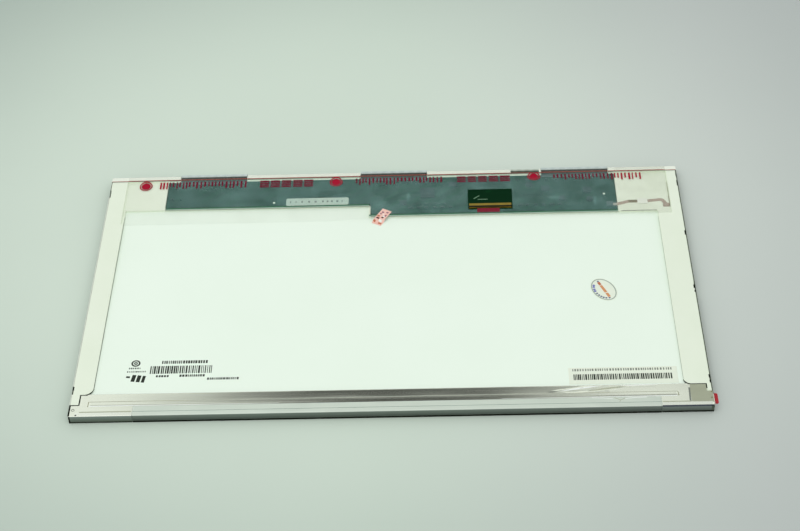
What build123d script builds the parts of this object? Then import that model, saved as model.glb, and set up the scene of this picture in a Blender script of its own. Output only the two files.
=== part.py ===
from build123d import *
import os

# Laptop screen panel: a 15.6 inch LED-backlit display module lying on its viewing side.
# X runs along the long edge, Y from the light-bar edge (near) to the driver-film edge (far),
# Z from the viewing side up to the rear. The origin is the centre of the module's outline,
# on the plane that the front film rests on. Sizes are in millimetres.

# Display area and what surrounds it in the cell
ACTIVE_WIDTH = 344.23
ACTIVE_DEPTH = 193.54
CELL_MARGIN = 3.0
GATE_LEDGE = 2.6
SOURCE_LEDGE = 3.2
BEZEL_REVEAL = 1.5
FRONT_POLARISER_MARGIN = 1.9
REAR_POLARISER_MARGIN = 1.2
GUIDE_MARGIN = 1.4

# Layer thicknesses, from the viewing side to the rear
FRONT_FILM_T = 0.10
BEZEL_T = 0.30
POLARISER_T = 0.15
GLASS_T = 0.40
RIM_TAPE_T = 0.10
OPTIC_SHEET_T = 0.12
GUIDE_NEAR_T = 2.30
GUIDE_FAR_T = 0.60
REFLECTOR_T = 0.20
COVER_T = 0.30
FOIL_T = 0.10
LABEL_T = 0.08

# Clearances
CELL_CLEARANCE = 0.25
GUIDE_CLEARANCE = 0.25
SHEET_GAP = 0.05
FRAME_CLEARANCE = 0.15
FIT_GAP = 0.05
POCKET_CLEARANCE = 0.30

# Moulded frame
SIDE_WALL = 1.235
FAR_WALL = 2.06
NEAR_RAIL = 1.90
LEFT_STRIP = 11.95
RIGHT_STRIP = 15.25
STRIP_END = 17.0
LEFT_STRIP_ROUND = 5.0
RIGHT_STRIP_ROUND = 4.0
LEFT_TONGUE = 5.0
LEFT_TONGUE_END = 9.15
RIGHT_TONGUE = 2.85
RIGHT_TONGUE_END = 11.75
BOARD_FLOOR_T = 0.30
BOARD_LEDGE = 1.2
PIN_R = 0.70
PIN_HEAD = 0.20
LEFT_PIN = (68.2, 21.7)
RIGHT_PIN = (7.4, 19.6)
THROUGH = 1.0

# Front bezel
NEAR_LIP = 2.75
LIP_END_LEFT = 3.9
LIP_END_RIGHT = 1.2
FAR_LIP = 4.20
BEZEL_CORNER_R = 1.5
BEND_R = 0.40
WALL_NOTCH_SILL = 0.15

# Side notches and the screw inserts that sit in them, measured from the far and near edges
FAR_INSERT_INSET = 15.55
NEAR_INSERT_INSET = 20.45
FAR_NOTCH_EXTRA = 1.9
FAR_NOTCH_RIGHT_EXTRA = 6.7
NEAR_NOTCH_EXTRA = 0.7
MID_NOTCH_LENGTH = 9.6
MID_NOTCH_OFFSET = -8.4
NOTCH_DEPTH = 0.9
NOTCH_FLOOR_T = 0.15
INSERT_LENGTH = 5.5
INSERT_DEPTH = 2.8
INSERT_HEIGHT = 2.6
INSERT_CHAMFER = 0.4
SCREW_R = 1.0

# Light bar
LED_COUNT = 48
LED_WIDTH = 3.8
LED_DEPTH = 1.2
LED_HEIGHT = 1.2
LED_RIM = 0.25
LED_CUP = 0.35
LED_GAP = 0.2
BAY_BACK = 1.6
FLEX_T = 0.15
TAIL_WIDTH = 4.0
TAIL_MARGIN = 0.3
TAIL_SLOT = 2.2
RUN_WIDTH = 2.4
RUN_BEND_R = 2.0
RUN_LEAD = 7.2
RUN_SHIFT = 2.4
RUN_FIRST_BEND = (2.4, 4.8)
RUN_SECOND_BEND = 12.0
STIFFENER_LENGTH = 5.5
STIFFENER_T = 0.08
FLEX_TAPE_LENGTH = 6.3
FLEX_TAPE_WIDTH = 5.0

# Light bar cover, foils and tapes
COVER_DEPTH = 16.95
COVER_WALL = 3.2
COVER_WALL_INSET = 3.5
TONGUE_GAP = 0.7
COVER_ROOM = 0.22
RIB_WIDTH = 3.6
RIB_HEIGHT = 0.22
RIB_INSET = 9.45
RIB_LEFT = 10.55
RIB_RIGHT = 19.45
DIMPLE_R = 0.8
DIMPLE_DEPTH = 0.12
DIMPLE_INSET = (2.45, 5.15)
FOIL_LEFT = 35.85
FOIL_RIGHT = 29.15
FOIL_RIB_GAP = 0.25
FOIL_DROP = 4.4
CORNER_FOIL_WIDTH = 12.2
LIP_TAPE_LENGTH = 18.0
LIP_TAPE_GAP = 1.4
LIP_TAPE_INSET = 0.5

# Control board
BOARD_LEFT_INSET = 36.9
BOARD_RIGHT_INSET = 39.7
BOARD_RIM_GAP = 0.95
BOARD_NARROW = 25.3
BOARD_WIDE = 35.4
BOARD_WIDE_PART = 153.5
BOARD_T = 0.70
BOARD_CORNER_R = 1.5
TOOLING_HOLES = [(3.3, 16.8, 1.0), (8.8, 17.2, 0.55)]

# Driver films and chips
DRIVER_FILM_WIDTH = 42.0
DRIVER_FILM_COUNT = 3
DRIVER_FILM_OFFSET = 0.6
DRIVER_FILM_T = 0.12
DRIVER_FILM_BOND = 2.0
DRIVER_FILM_RISE = 0.9
DRIVER_FILM_BULGE = 2.7
SOURCE_CHIP = (16.0, 1.3, 0.40)
SOURCE_CHIP_GAP = 0.5
GATE_CHIP = (1.0, 14.0, 0.35)
GATE_CHIP_COUNT = 3

# Board cover film
FILM_T = 0.10
FILM_LEFT = 10.75
FILM_RIGHT = 6.95
FILM_OVERHANG = 4.45
FILM_FAR_INSET = 0.3
FILM_SLOPE = 2.0
BLISTER_RIGHT_INSET = 0.65
BLISTER_NEAR_INSET = 0.8
BLISTER_FAR_INSET = 2.1
BLISTER_SIDE = 2.5
WINDOW_MARGIN = 0.6
WINDOW_DEPTH = 19.1
WINDOW_BEFORE_CONNECTOR = 2.3

# Signal connector, opening towards the near edge
CONNECTOR_FROM_RIGHT = 78.9
CONNECTOR_FROM_EDGE = 4.5
CONNECTOR_WIDTH = 26.5
CONNECTOR_DEPTH = 3.7
CONNECTOR_HEIGHT = 0.90
CONNECTOR_WALL = 0.2
CONNECTOR_END = 1.5
SLOT_DEPTH = 2.4
SHELL_T = 0.12
SHELL_DEPTH = 1.5
CONTACT_COUNT = 40
CONTACT_PITCH = 0.5
CONTACT_WIDTH = 0.22
CONTACT_T = 0.15
CONTACT_TAIL = 0.6

# What the board carries: centres from the board's right and far edges, then width, depth, height
TIMING_CONTROLLER = (117.9, 15.6, 9.0, 9.0, 0.85)
MEMORY_CHIP = (101.9, 7.6, 5.0, 4.0, 0.75)
POWER_CHIPS = [(133.2, 24.6, 4.0, 4.0, 0.80), (43.9, 13.6, 5.0, 5.0, 0.80), (17.9, 15.6, 5.0, 5.0, 0.80)]
INDUCTORS = [(53.9, 9.4, 4.0, 4.0, 0.85), (33.9, 23.4, 4.0, 4.0, 0.85), (16.7, 24.4, 4.0, 4.0, 0.85)]
INDUCTOR_CHAMFER = 0.8
# Rows of small parts: first centre and pitch, with the number in each row beside it
CAPACITOR = (2.0, 1.25, 0.80)
CAPACITOR_ROWS = [(60.7, 4.4, 6.0), (130.7, 4.4, 6.0), (128.7, 29.4, 5.0), (60.7, 28.9, 5.0)]
CAPACITOR_COUNT = [8, 4, 6, 6]
CHIP_RESISTOR = (1.0, 0.5, 0.25)
CHIP_RESISTOR_ROWS = [(264.7, 6.4, 3.2), (150.7, 6.4, 2.6), (126.7, 25.9, 2.2), (57.7, 18.9, 2.0)]
CHIP_RESISTOR_COUNT = [8, 6, 10, 9]
LED_SOCKET = (4.0, 4.5, 0.80)
LED_SOCKET_INSET = (4.6, 5.5)
LED_SOCKET_SLOT = 1.8

# Labels and stickers
BOARD_LABEL_SIZE = (39.3, 7.0)
BOARD_LABEL_PLACE = (95.5, 21.3)
BOARD_LABEL_ROUND = 1.2
CONNECTOR_LABEL_SIZE = (14.1, 2.9)
CONNECTOR_LABEL_SHIFT = 1.25
CONNECTOR_LABEL_FROM_EDGE = 1.65
BARCODE_LABEL_SIZE = (61.1, 13.0)
BARCODE_LABEL_INSET = (48.6, 25.05)
OVAL_HALF_AXES = (7.15, 10.2)
OVAL_INSET = (53.95, 96.95)
OVAL_TURN = 24.0
SEAL_LENGTH = 13.7
SEAL_WIDTH = 6.4
SEAL_BEFORE_BLISTER = 8.6
SEAL_ON_FILM = 2.45
SEAL_TURN = -30.0
SEAL_DROP = 1.6

# Pull tab of the front film
FILM_INSET = 0.3
TAB_REACH = 3.0
TAB_WIDTH = 8.0
TAB_INSET = 5.75
TAB_CORNER_R = 1.0

# Outline of the module, from the display area outwards
SIDE_BORDER = CELL_MARGIN + GATE_LEDGE + CELL_CLEARANCE + SIDE_WALL + FRAME_CLEARANCE + BEZEL_T
FAR_BORDER = CELL_MARGIN + SOURCE_LEDGE + CELL_CLEARANCE + FAR_WALL + FRAME_CLEARANCE + BEZEL_T
COVER_SPACE = BEZEL_T + FIT_GAP + COVER_T + FIT_GAP
NEAR_BORDER = GUIDE_MARGIN + LED_GAP + LED_DEPTH + BAY_BACK + NEAR_RAIL + COVER_SPACE
MODULE_WIDTH = ACTIVE_WIDTH + 2 * SIDE_BORDER
MODULE_DEPTH = NEAR_BORDER + ACTIVE_DEPTH + FAR_BORDER
RIGHT = MODULE_WIDTH / 2
LEFT = -RIGHT
FAR = MODULE_DEPTH / 2
NEAR = -FAR
OUTSIDE = MODULE_WIDTH

# Levels of the layers
Z_BEZEL = FRONT_FILM_T
Z_CELL = Z_BEZEL + BEZEL_T
Z_FILTER_GLASS = Z_CELL + POLARISER_T
Z_ARRAY_GLASS = Z_FILTER_GLASS + GLASS_T
Z_REAR_POLARISER = Z_ARRAY_GLASS + GLASS_T
Z_LEDGE = Z_REAR_POLARISER + RIM_TAPE_T
Z_SHEETS = Z_REAR_POLARISER + POLARISER_T + SHEET_GAP
Z_GUIDE = Z_SHEETS + 4 * OPTIC_SHEET_T
Z_COVER = Z_GUIDE + GUIDE_NEAR_T + REFLECTOR_T + SHEET_GAP + COVER_ROOM
Z_FRAME_REAR = Z_COVER + COVER_T
Z_LIP = Z_FRAME_REAR + BEZEL_T
Z_LED_FLEX = Z_GUIDE + GUIDE_NEAR_T / 2 - LED_HEIGHT / 2 - FLEX_T

# Places in plan
ACTIVE_NEAR = NEAR + NEAR_BORDER
ACTIVE_FAR = ACTIVE_NEAR + ACTIVE_DEPTH
GUIDE_HALF = ACTIVE_WIDTH / 2 + GUIDE_MARGIN
GUIDE_NEAR = ACTIVE_NEAR - GUIDE_MARGIN
GUIDE_FAR = ACTIVE_FAR + GUIDE_MARGIN
BAY_NEAR = GUIDE_NEAR - LED_GAP - LED_DEPTH - BAY_BACK
FRAME_HALF = RIGHT - BEZEL_T - FRAME_CLEARANCE
FRAME_NEAR = NEAR + COVER_SPACE
FRAME_FAR = FAR - BEZEL_T - FRAME_CLEARANCE
STRIP_NEAR = NEAR + STRIP_END
RIM_NEAR = FAR - FAR_LIP
BOARD_LEFT = LEFT + BOARD_LEFT_INSET
BOARD_RIGHT = RIGHT - BOARD_RIGHT_INSET
BOARD_FAR = RIM_NEAR - BOARD_RIM_GAP
BOARD_NARROW_NEAR = BOARD_FAR - BOARD_NARROW
BOARD_NEAR = BOARD_FAR - BOARD_WIDE
STEP_X = BOARD_RIGHT - BOARD_WIDE_PART
FILM_NEAR = BOARD_NEAR - FILM_OVERHANG
TAIL_X = RIGHT - FILM_RIGHT - TAIL_MARGIN - TAIL_WIDTH / 2
CONNECTOR_X = BOARD_RIGHT - CONNECTOR_FROM_RIGHT
DRIVER_FILM_PITCH = ACTIVE_WIDTH / DRIVER_FILM_COUNT
DRIVER_FILM_XS = [DRIVER_FILM_OFFSET + i * DRIVER_FILM_PITCH for i in (-1, 0, 1)]
PIN_PLACES = [(BOARD_LEFT + LEFT_PIN[0], BOARD_FAR - LEFT_PIN[1]),
              (BOARD_RIGHT - RIGHT_PIN[0], BOARD_FAR - RIGHT_PIN[1])]
DRIVER_FILM_NAMES = ["left", "centre", "right"]


def reflector_rear(y):
    """Height of the reflector's rear face, which slopes with the wedge of the light guide."""
    share = (y - GUIDE_NEAR) / (GUIDE_FAR - GUIDE_NEAR)
    return Z_GUIDE + GUIDE_NEAR_T + (GUIDE_FAR_T - GUIDE_NEAR_T) * share + REFLECTOR_T


# Levels on the far side, which start from the reflector under the board's near edge
Z_BOARD = reflector_rear(BOARD_NEAR) + SHEET_GAP + BOARD_FLOOR_T
Z_BOARD_TOP = Z_BOARD + BOARD_T
FILM_LIFT = CHIP_RESISTOR[2] + FIT_GAP
Z_FILM = Z_BOARD_TOP + FILM_LIFT
TALL_PARTS = [TIMING_CONTROLLER, MEMORY_CHIP] + POWER_CHIPS + INDUCTORS
TALL_REACH = max(part[0] + part[2] / 2 for part in TALL_PARTS)
BLISTER_LEFT = BOARD_RIGHT - TALL_REACH - POCKET_CLEARANCE - BLISTER_SIDE
TALLEST_PART = max([part[-1] for part in TALL_PARTS] + [CAPACITOR[-1], LED_SOCKET[-1]])
BLISTER_HEIGHT = TALLEST_PART + POCKET_CLEARANCE - FILM_LIFT


def area(x0, x1, y0, y1, corner=0.0):
    """Rectangle between two X and two Y places, with rounded corners if asked."""
    shape = Pos((x0 + x1) / 2, (y0 + y1) / 2) * Rectangle(x1 - x0, y1 - y0)
    if corner > 0:
        shape = fillet(shape.vertices(), corner)
    return shape


def layer(shape, z0, z1):
    """A flat shape given thickness between two heights."""
    return extrude(Pos(0, 0, z0) * shape, amount=z1 - z0, dir=(0, 0, 1))


def rounded(shape, place, radius):
    """Rounds the corner of a flat shape that lies nearest to a place."""
    corner = shape.vertices().sort_by_distance((place[0], place[1], 0))[0]
    return fillet(corner, radius)


def bar(points, x0, x1, rounds=()):
    """A cross-section of (Y, Z) points, some of them rounded, carried along X."""
    section = Polygon(*points, align=None)
    for place, radius in rounds:
        section = rounded(section, place, radius)
    return extrude(Plane.YZ.offset(x0) * section, amount=x1 - x0, dir=(1, 0, 0))


def on_reflector(shape, place, thickness):
    """A flat shape laid on the sloping rear face of the reflector."""
    slope = Vector(0, GUIDE_FAR - GUIDE_NEAR, GUIDE_FAR_T - GUIDE_NEAR_T)
    normal = Vector(1, 0, 0).cross(slope)
    seat = Plane(origin=(place[0], place[1], reflector_rear(place[1])), x_dir=(1, 0, 0), z_dir=normal)
    return extrude(seat * shape, amount=thickness, dir=normal)


def on_board(x, y, width, depth, height, cut=0.0):
    """A part on the board, placed from the board's right and far edges, its corners cut if asked."""
    shape = Rectangle(width, depth)
    if cut > 0:
        shape = chamfer(shape.vertices(), cut)
    return layer(Pos(BOARD_RIGHT - x, BOARD_FAR - y) * shape, Z_BOARD_TOP, Z_BOARD_TOP + height)


def board_outline(grow=0.0, near_grow=0.0):
    """The board's stepped outline, grown all round and further at its near edge."""
    left, right, far = BOARD_LEFT - grow, BOARD_RIGHT + grow, BOARD_FAR + grow
    step, narrow, near = STEP_X - grow, BOARD_NARROW_NEAR - near_grow, BOARD_NEAR - near_grow
    near_corners = [(right, near), (step, near), (step, narrow), (left, narrow)]
    shape = Polygon((left, far), (right, far), *near_corners, align=None)
    for place in near_corners:
        shape = rounded(shape, place, BOARD_CORNER_R)
    return shape


def rear_opening():
    """The region of the rear that the frame leaves open, down to past the near edge."""
    left, right = LEFT + LEFT_STRIP, RIGHT - RIGHT_STRIP
    step = STEP_X - BOARD_LEDGE
    far_left, far_right = BOARD_NARROW_NEAR - BOARD_LEDGE, BOARD_NEAR - BOARD_LEDGE
    left_tongue, left_end = LEFT + LEFT_TONGUE, NEAR + LEFT_TONGUE_END
    right_tongue, right_end = RIGHT - RIGHT_TONGUE, NEAR + RIGHT_TONGUE_END
    shape = Polygon(
        (left, far_left), (step, far_left), (step, far_right), (right, far_right),
        (right, STRIP_NEAR), (right_tongue, STRIP_NEAR), (right_tongue, right_end), (OUTSIDE, right_end),
        (OUTSIDE, -OUTSIDE), (-OUTSIDE, -OUTSIDE),
        (-OUTSIDE, left_end), (left_tongue, left_end), (left_tongue, STRIP_NEAR), (left, STRIP_NEAR),
        align=None,
    )
    shape = rounded(shape, (left, STRIP_NEAR), LEFT_STRIP_ROUND)
    shape = rounded(shape, (right, STRIP_NEAR), RIGHT_STRIP_ROUND)
    return shape


def strip_ends():
    """The near ends of the two side strips, seen from the rear."""
    return area(-OUTSIDE / 2, OUTSIDE / 2, NEAR, NEAR + 2 * STRIP_END) - rear_opening()


def notches(side):
    """Side notches as (Y centre, length), far one first, for the left (-1) or right (+1) side."""
    beyond = FAR_NOTCH_RIGHT_EXTRA if side > 0 else 0
    far_length = INSERT_LENGTH + FAR_NOTCH_EXTRA + beyond
    far_centre = FAR - FAR_INSERT_INSET + beyond / 2
    rows = [(far_centre, far_length), (NEAR + NEAR_INSERT_INSET, INSERT_LENGTH + NEAR_NOTCH_EXTRA)]
    if side > 0:
        rows.append((MID_NOTCH_OFFSET, MID_NOTCH_LENGTH))
    return rows


def insert_places():
    """Side and Y place of each screw insert."""
    return [(side, y) for side in (-1, 1) for y in (FAR - FAR_INSERT_INSET, NEAR + NEAR_INSERT_INSET)]


Z_NOTCH = Z_LEDGE + NOTCH_FLOOR_T


def side_pocket(side, y, length, depth, z0, z1=Z_LIP + THROUGH):
    """A pocket let in from one side of the module, open to the rear unless z1 gives it a roof."""
    x_out, x_in = side * (RIGHT + THROUGH), side * (RIGHT - depth)
    shape = area(min(x_out, x_in), max(x_out, x_in), y - length / 2, y + length / 2)
    return layer(shape, z0, z1)


def cell_layer(margin, z, thickness, left_extra=0.0, far_extra=0.0):
    """A layer of the display cell, larger than the display area by a margin."""
    x0, x1 = -ACTIVE_WIDTH / 2 - margin - left_extra, ACTIVE_WIDTH / 2 + margin
    return layer(area(x0, x1, ACTIVE_NEAR - margin, ACTIVE_FAR + margin + far_extra), z, z + thickness)


def front_protective_film():
    sheet = area(LEFT + FILM_INSET, RIGHT - FILM_INSET, NEAR + FILM_INSET, FAR - FILM_INSET)
    tongue_near = NEAR + TAB_INSET
    tongue = area(RIGHT - TAB_REACH, RIGHT + TAB_REACH, tongue_near, tongue_near + TAB_WIDTH)
    for y in (tongue_near, tongue_near + TAB_WIDTH):
        tongue = rounded(tongue, (RIGHT + TAB_REACH, y), TAB_CORNER_R)
    return layer(sheet + tongue, 0, FRONT_FILM_T)


def pull_tab():
    tongue_near = NEAR + TAB_INSET
    tab = area(RIGHT + FIT_GAP, RIGHT + TAB_REACH, tongue_near, tongue_near + TAB_WIDTH)
    for y in (tongue_near, tongue_near + TAB_WIDTH):
        tab = rounded(tab, (RIGHT + TAB_REACH, y), TAB_CORNER_R)
    return layer(tab, FRONT_FILM_T, FRONT_FILM_T + LABEL_T)


def front_bezel():
    """Steel tray with a window in its front, lips folded in at the near and far edges."""
    tray = layer(area(LEFT, RIGHT, NEAR, FAR), Z_BEZEL, Z_LIP)
    tray = fillet(tray.faces().filter_by(Axis.Z).edges(), BEND_R)
    tray &= layer(area(LEFT, RIGHT, NEAR, FAR, BEZEL_CORNER_R), Z_BEZEL, Z_LIP)
    inside = area(LEFT + BEZEL_T, RIGHT - BEZEL_T, NEAR + BEZEL_T, FAR - BEZEL_T, BEZEL_CORNER_R - BEZEL_T)
    tray -= layer(inside, Z_CELL, Z_FRAME_REAR)
    reveal = ACTIVE_WIDTH / 2 + BEZEL_REVEAL
    tray -= layer(area(-reveal, reveal, ACTIVE_NEAR - BEZEL_REVEAL, ACTIVE_FAR + BEZEL_REVEAL), 0, Z_LIP)
    between_lips = area(-OUTSIDE, OUTSIDE, NEAR + NEAR_LIP, FAR - FAR_LIP)
    tray -= layer(between_lips, Z_FRAME_REAR, Z_LIP + THROUGH)
    lip_stop = NEAR + NEAR_LIP + THROUGH
    for x0, x1 in ((LEFT - THROUGH, LEFT + LIP_END_LEFT), (RIGHT - LIP_END_RIGHT, RIGHT + THROUGH)):
        tray -= layer(area(x0, x1, NEAR + BEZEL_T, lip_stop), Z_FRAME_REAR, Z_LIP + THROUGH)
    for x in DRIVER_FILM_XS:
        half = DRIVER_FILM_WIDTH / 2 + POCKET_CLEARANCE
        notch = area(x - half, x + half, RIM_NEAR - THROUGH, FAR + THROUGH)
        tray -= layer(notch, Z_CELL + WALL_NOTCH_SILL, Z_LIP + THROUGH)
    for side in (-1, 1):
        for y, length in notches(side):
            tray -= side_pocket(side, y, length, 2 * BEZEL_T, Z_NOTCH)
    return tray


def mould_frame():
    """White frame: cell seat at the front, wedge pocket for the guide, rear strips and board band."""
    outline = area(-FRAME_HALF, FRAME_HALF, FRAME_NEAR, FRAME_FAR, BEZEL_CORNER_R)
    frame = layer(outline, Z_CELL, Z_FRAME_REAR)
    frame -= cell_layer(CELL_MARGIN + CELL_CLEARANCE, Z_CELL, Z_LEDGE - Z_CELL, GATE_LEDGE, SOURCE_LEDGE)

    pocket_half, pocket_far = GUIDE_HALF + GUIDE_CLEARANCE, GUIDE_FAR + GUIDE_CLEARANCE
    roof_near, roof_far = reflector_rear(BAY_NEAR) + SHEET_GAP, reflector_rear(pocket_far) + SHEET_GAP
    pocket_near = GUIDE_NEAR - LED_GAP
    wedge = [(pocket_near, Z_LEDGE), (pocket_far, Z_LEDGE), (pocket_far, roof_far), (BAY_NEAR, roof_near),
             (BAY_NEAR, Z_LED_FLEX), (pocket_near, Z_LED_FLEX)]
    frame -= bar(wedge, -pocket_half, pocket_half)

    opening = rear_opening()
    frame -= layer(opening & area(-pocket_half, pocket_half, BAY_NEAR, FAR), Z_LED_FLEX, Z_LIP)
    frame -= layer(opening, Z_COVER, Z_LIP)

    film_place = area(LEFT + FILM_LEFT - POCKET_CLEARANCE, RIGHT - FILM_RIGHT + POCKET_CLEARANCE,
                      FILM_NEAR - POCKET_CLEARANCE, RIM_NEAR)
    frame -= layer(film_place, Z_BOARD_TOP, Z_LIP)
    frame -= layer(board_outline(POCKET_CLEARANCE, 2 * BOARD_LEDGE), Z_BOARD, Z_LIP)

    for x in DRIVER_FILM_XS:
        half = DRIVER_FILM_WIDTH / 2 + POCKET_CLEARANCE
        passage = area(x - half, x + half, BOARD_FAR, FAR)
        z_front_passage = Z_ARRAY_GLASS + SOURCE_CHIP[2] + POCKET_CLEARANCE
        frame -= layer(passage, Z_BOARD_TOP - DRIVER_FILM_T, Z_LIP)
        front_passage = area(x - half, x + half, ACTIVE_FAR + CELL_MARGIN + SOURCE_LEDGE, FAR)
        frame -= layer(front_passage, Z_CELL, z_front_passage)

    channel_half = TAIL_WIDTH / 2 + GUIDE_CLEARANCE
    channel_x0, channel_x1 = TAIL_X - channel_half, TAIL_X + channel_half
    slot_far = tail_slot_far()
    rise = SHEET_GAP + FLEX_T + SHEET_GAP
    channel = [(BAY_NEAR, Z_GUIDE), (slot_far, Z_GUIDE), (slot_far, reflector_rear(slot_far) + rise),
               (BAY_NEAR, reflector_rear(BAY_NEAR) + rise)]
    frame -= bar(channel, channel_x0, channel_x1)
    slot = area(channel_x0, channel_x1, slot_far - TAIL_SLOT, slot_far)
    frame -= layer(slot, Z_GUIDE, Z_BOARD_TOP + FLEX_T)

    for side in (-1, 1):
        for y, length in notches(side):
            frame -= side_pocket(side, y, length, NOTCH_DEPTH, Z_NOTCH)
    for side, y in insert_places():
        roof = Z_NOTCH + INSERT_HEIGHT + FIT_GAP
        frame -= side_pocket(side, y, INSERT_LENGTH + 2 * FIT_GAP, INSERT_DEPTH + FIT_GAP, Z_NOTCH, roof)
    for x, y in PIN_PLACES:
        frame += layer(Pos(x, y) * Circle(PIN_R), Z_BOARD, Z_BOARD_TOP + PIN_HEAD)
    return frame


def screw_inserts():
    """Threaded blocks, flush with the bezel's walls, one in each end notch of both sides."""
    blocks = []
    for side, y in insert_places():
        x_out, x_in = side * RIGHT, side * (RIGHT - INSERT_DEPTH)
        shape = area(min(x_out, x_in), max(x_out, x_in), y - INSERT_LENGTH / 2, y + INSERT_LENGTH / 2)
        inner_corners = shape.vertices().sort_by_distance((x_in, y, 0))[:2]
        block = layer(chamfer(inner_corners, INSERT_CHAMFER), Z_NOTCH, Z_NOTCH + INSERT_HEIGHT)
        hole = Pos(0, y, Z_NOTCH + INSERT_HEIGHT / 2) * Rot(0, 90, 0) * Cylinder(SCREW_R, 2 * MODULE_WIDTH)
        blocks.append(block - hole)
    return Compound(children=blocks)


def rim_tape():
    """Tape ring between the glass and the frame's seat, round the light guide's pocket."""
    margin, hole = CELL_MARGIN - GUIDE_CLEARANCE, GUIDE_MARGIN + GUIDE_CLEARANCE
    half, hole_half = ACTIVE_WIDTH / 2 + margin, ACTIVE_WIDTH / 2 + hole
    ring = area(-half, half, ACTIVE_NEAR - margin, ACTIVE_FAR + margin)
    ring -= area(-hole_half, hole_half, ACTIVE_NEAR - hole, ACTIVE_FAR + hole)
    return layer(ring, Z_REAR_POLARISER, Z_LEDGE)


def gate_driver_chips():
    """Row driver chips on the ledge at the left edge of the array glass."""
    x = -ACTIVE_WIDTH / 2 - CELL_MARGIN - GATE_LEDGE / 2
    middle = (ACTIVE_NEAR + ACTIVE_FAR) / 2
    width, length, height = GATE_CHIP
    places = [Pos(x, middle + i * ACTIVE_DEPTH / GATE_CHIP_COUNT) for i in (-1, 0, 1)]
    return Compound(children=[
        layer(place * Rectangle(width, length), Z_ARRAY_GLASS - height, Z_ARRAY_GLASS) for place in places])


def driver_film(x):
    """Driver film: bonded to the array glass, bent round the far edge, bonded to the board."""
    half_t = DRIVER_FILM_T / 2
    z_low = Z_ARRAY_GLASS - half_t
    z_board = Z_BOARD_TOP + half_t
    z_high = z_board + DRIVER_FILM_RISE
    bend_r = (z_high - z_low) / 2
    bend_y = FAR + DRIVER_FILM_BULGE - bend_r - half_t
    glass_y = ACTIVE_FAR + CELL_MARGIN + SOURCE_LEDGE - DRIVER_FILM_BOND
    edge_y = BOARD_FAR - half_t
    end_y = BOARD_FAR - DRIVER_FILM_BOND

    def side(offset):
        """One face of the film, from the glass round to the board."""
        low, high, board = (bend_y, z_low - offset), (bend_y, z_high + offset), (edge_y, z_board + offset)
        crown = (bend_y + bend_r + offset, (z_low + z_high) / 2)
        return [Polyline((glass_y, z_low - offset), low), ThreePointArc(low, crown, high),
                Polyline(high, board, (end_y, z_board + offset))]

    outer, inner = side(half_t), side(-half_t)
    caps = [Line((glass_y, z_low - half_t), (glass_y, z_low + half_t)),
            Line((end_y, z_board - half_t), (end_y, z_board + half_t))]
    edges = [edge for line in outer + inner + caps for edge in line.edges()]
    profile = make_face(edges)
    x0 = x - DRIVER_FILM_WIDTH / 2
    return extrude(Plane.YZ.offset(x0) * profile, amount=DRIVER_FILM_WIDTH, dir=(1, 0, 0))


def source_driver_chips():
    """Column driver chips inside the bends of the driver films, beside the array glass."""
    length, width, height = SOURCE_CHIP
    y0 = ACTIVE_FAR + CELL_MARGIN + SOURCE_LEDGE + SOURCE_CHIP_GAP
    return Compound(children=[
        layer(area(x - length / 2, x + length / 2, y0, y0 + width), Z_ARRAY_GLASS, Z_ARRAY_GLASS + height)
        for x in DRIVER_FILM_XS])


def optic_sheet(index):
    z = Z_SHEETS + index * OPTIC_SHEET_T
    return layer(area(-GUIDE_HALF, GUIDE_HALF, GUIDE_NEAR, GUIDE_FAR), z, z + OPTIC_SHEET_T)


def light_guide():
    """Wedge plate, thick at the lamps and thin at the far edge."""
    section = [(GUIDE_NEAR, Z_GUIDE), (GUIDE_FAR, Z_GUIDE),
               (GUIDE_FAR, Z_GUIDE + GUIDE_FAR_T), (GUIDE_NEAR, Z_GUIDE + GUIDE_NEAR_T)]
    return bar(section, -GUIDE_HALF, GUIDE_HALF)


def reflector_sheet():
    rear = [(GUIDE_FAR, reflector_rear(GUIDE_FAR)), (GUIDE_NEAR, reflector_rear(GUIDE_NEAR))]
    front = [(y, z - REFLECTOR_T) for y, z in reversed(rear)]
    return bar(rear + front, -GUIDE_HALF, GUIDE_HALF)


def tail_slot_far():
    """Far side of the slot where the flex tail comes up through the frame."""
    return BOARD_NEAR + LED_SOCKET_INSET[1] - RUN_WIDTH / 2


def run_line():
    """Centre line of the flex on the board band, from the slot to the lamp socket."""
    socket_y = BOARD_NEAR + LED_SOCKET_INSET[1]
    slot_y = tail_slot_far()
    mouth_x = BOARD_RIGHT - LED_SOCKET_INSET[0] + LED_SOCKET[0] / 2
    return FilletPolyline(
        (TAIL_X, slot_y),
        (TAIL_X - RUN_FIRST_BEND[0], slot_y + RUN_FIRST_BEND[1]),
        (TAIL_X - RUN_SECOND_BEND, socket_y + RUN_SHIFT),
        (BOARD_RIGHT + RUN_LEAD, socket_y + RUN_SHIFT),
        (BOARD_RIGHT, socket_y),
        (mouth_x - LED_SOCKET_SLOT + FIT_GAP, socket_y),
        radius=RUN_BEND_R,
    )


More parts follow.
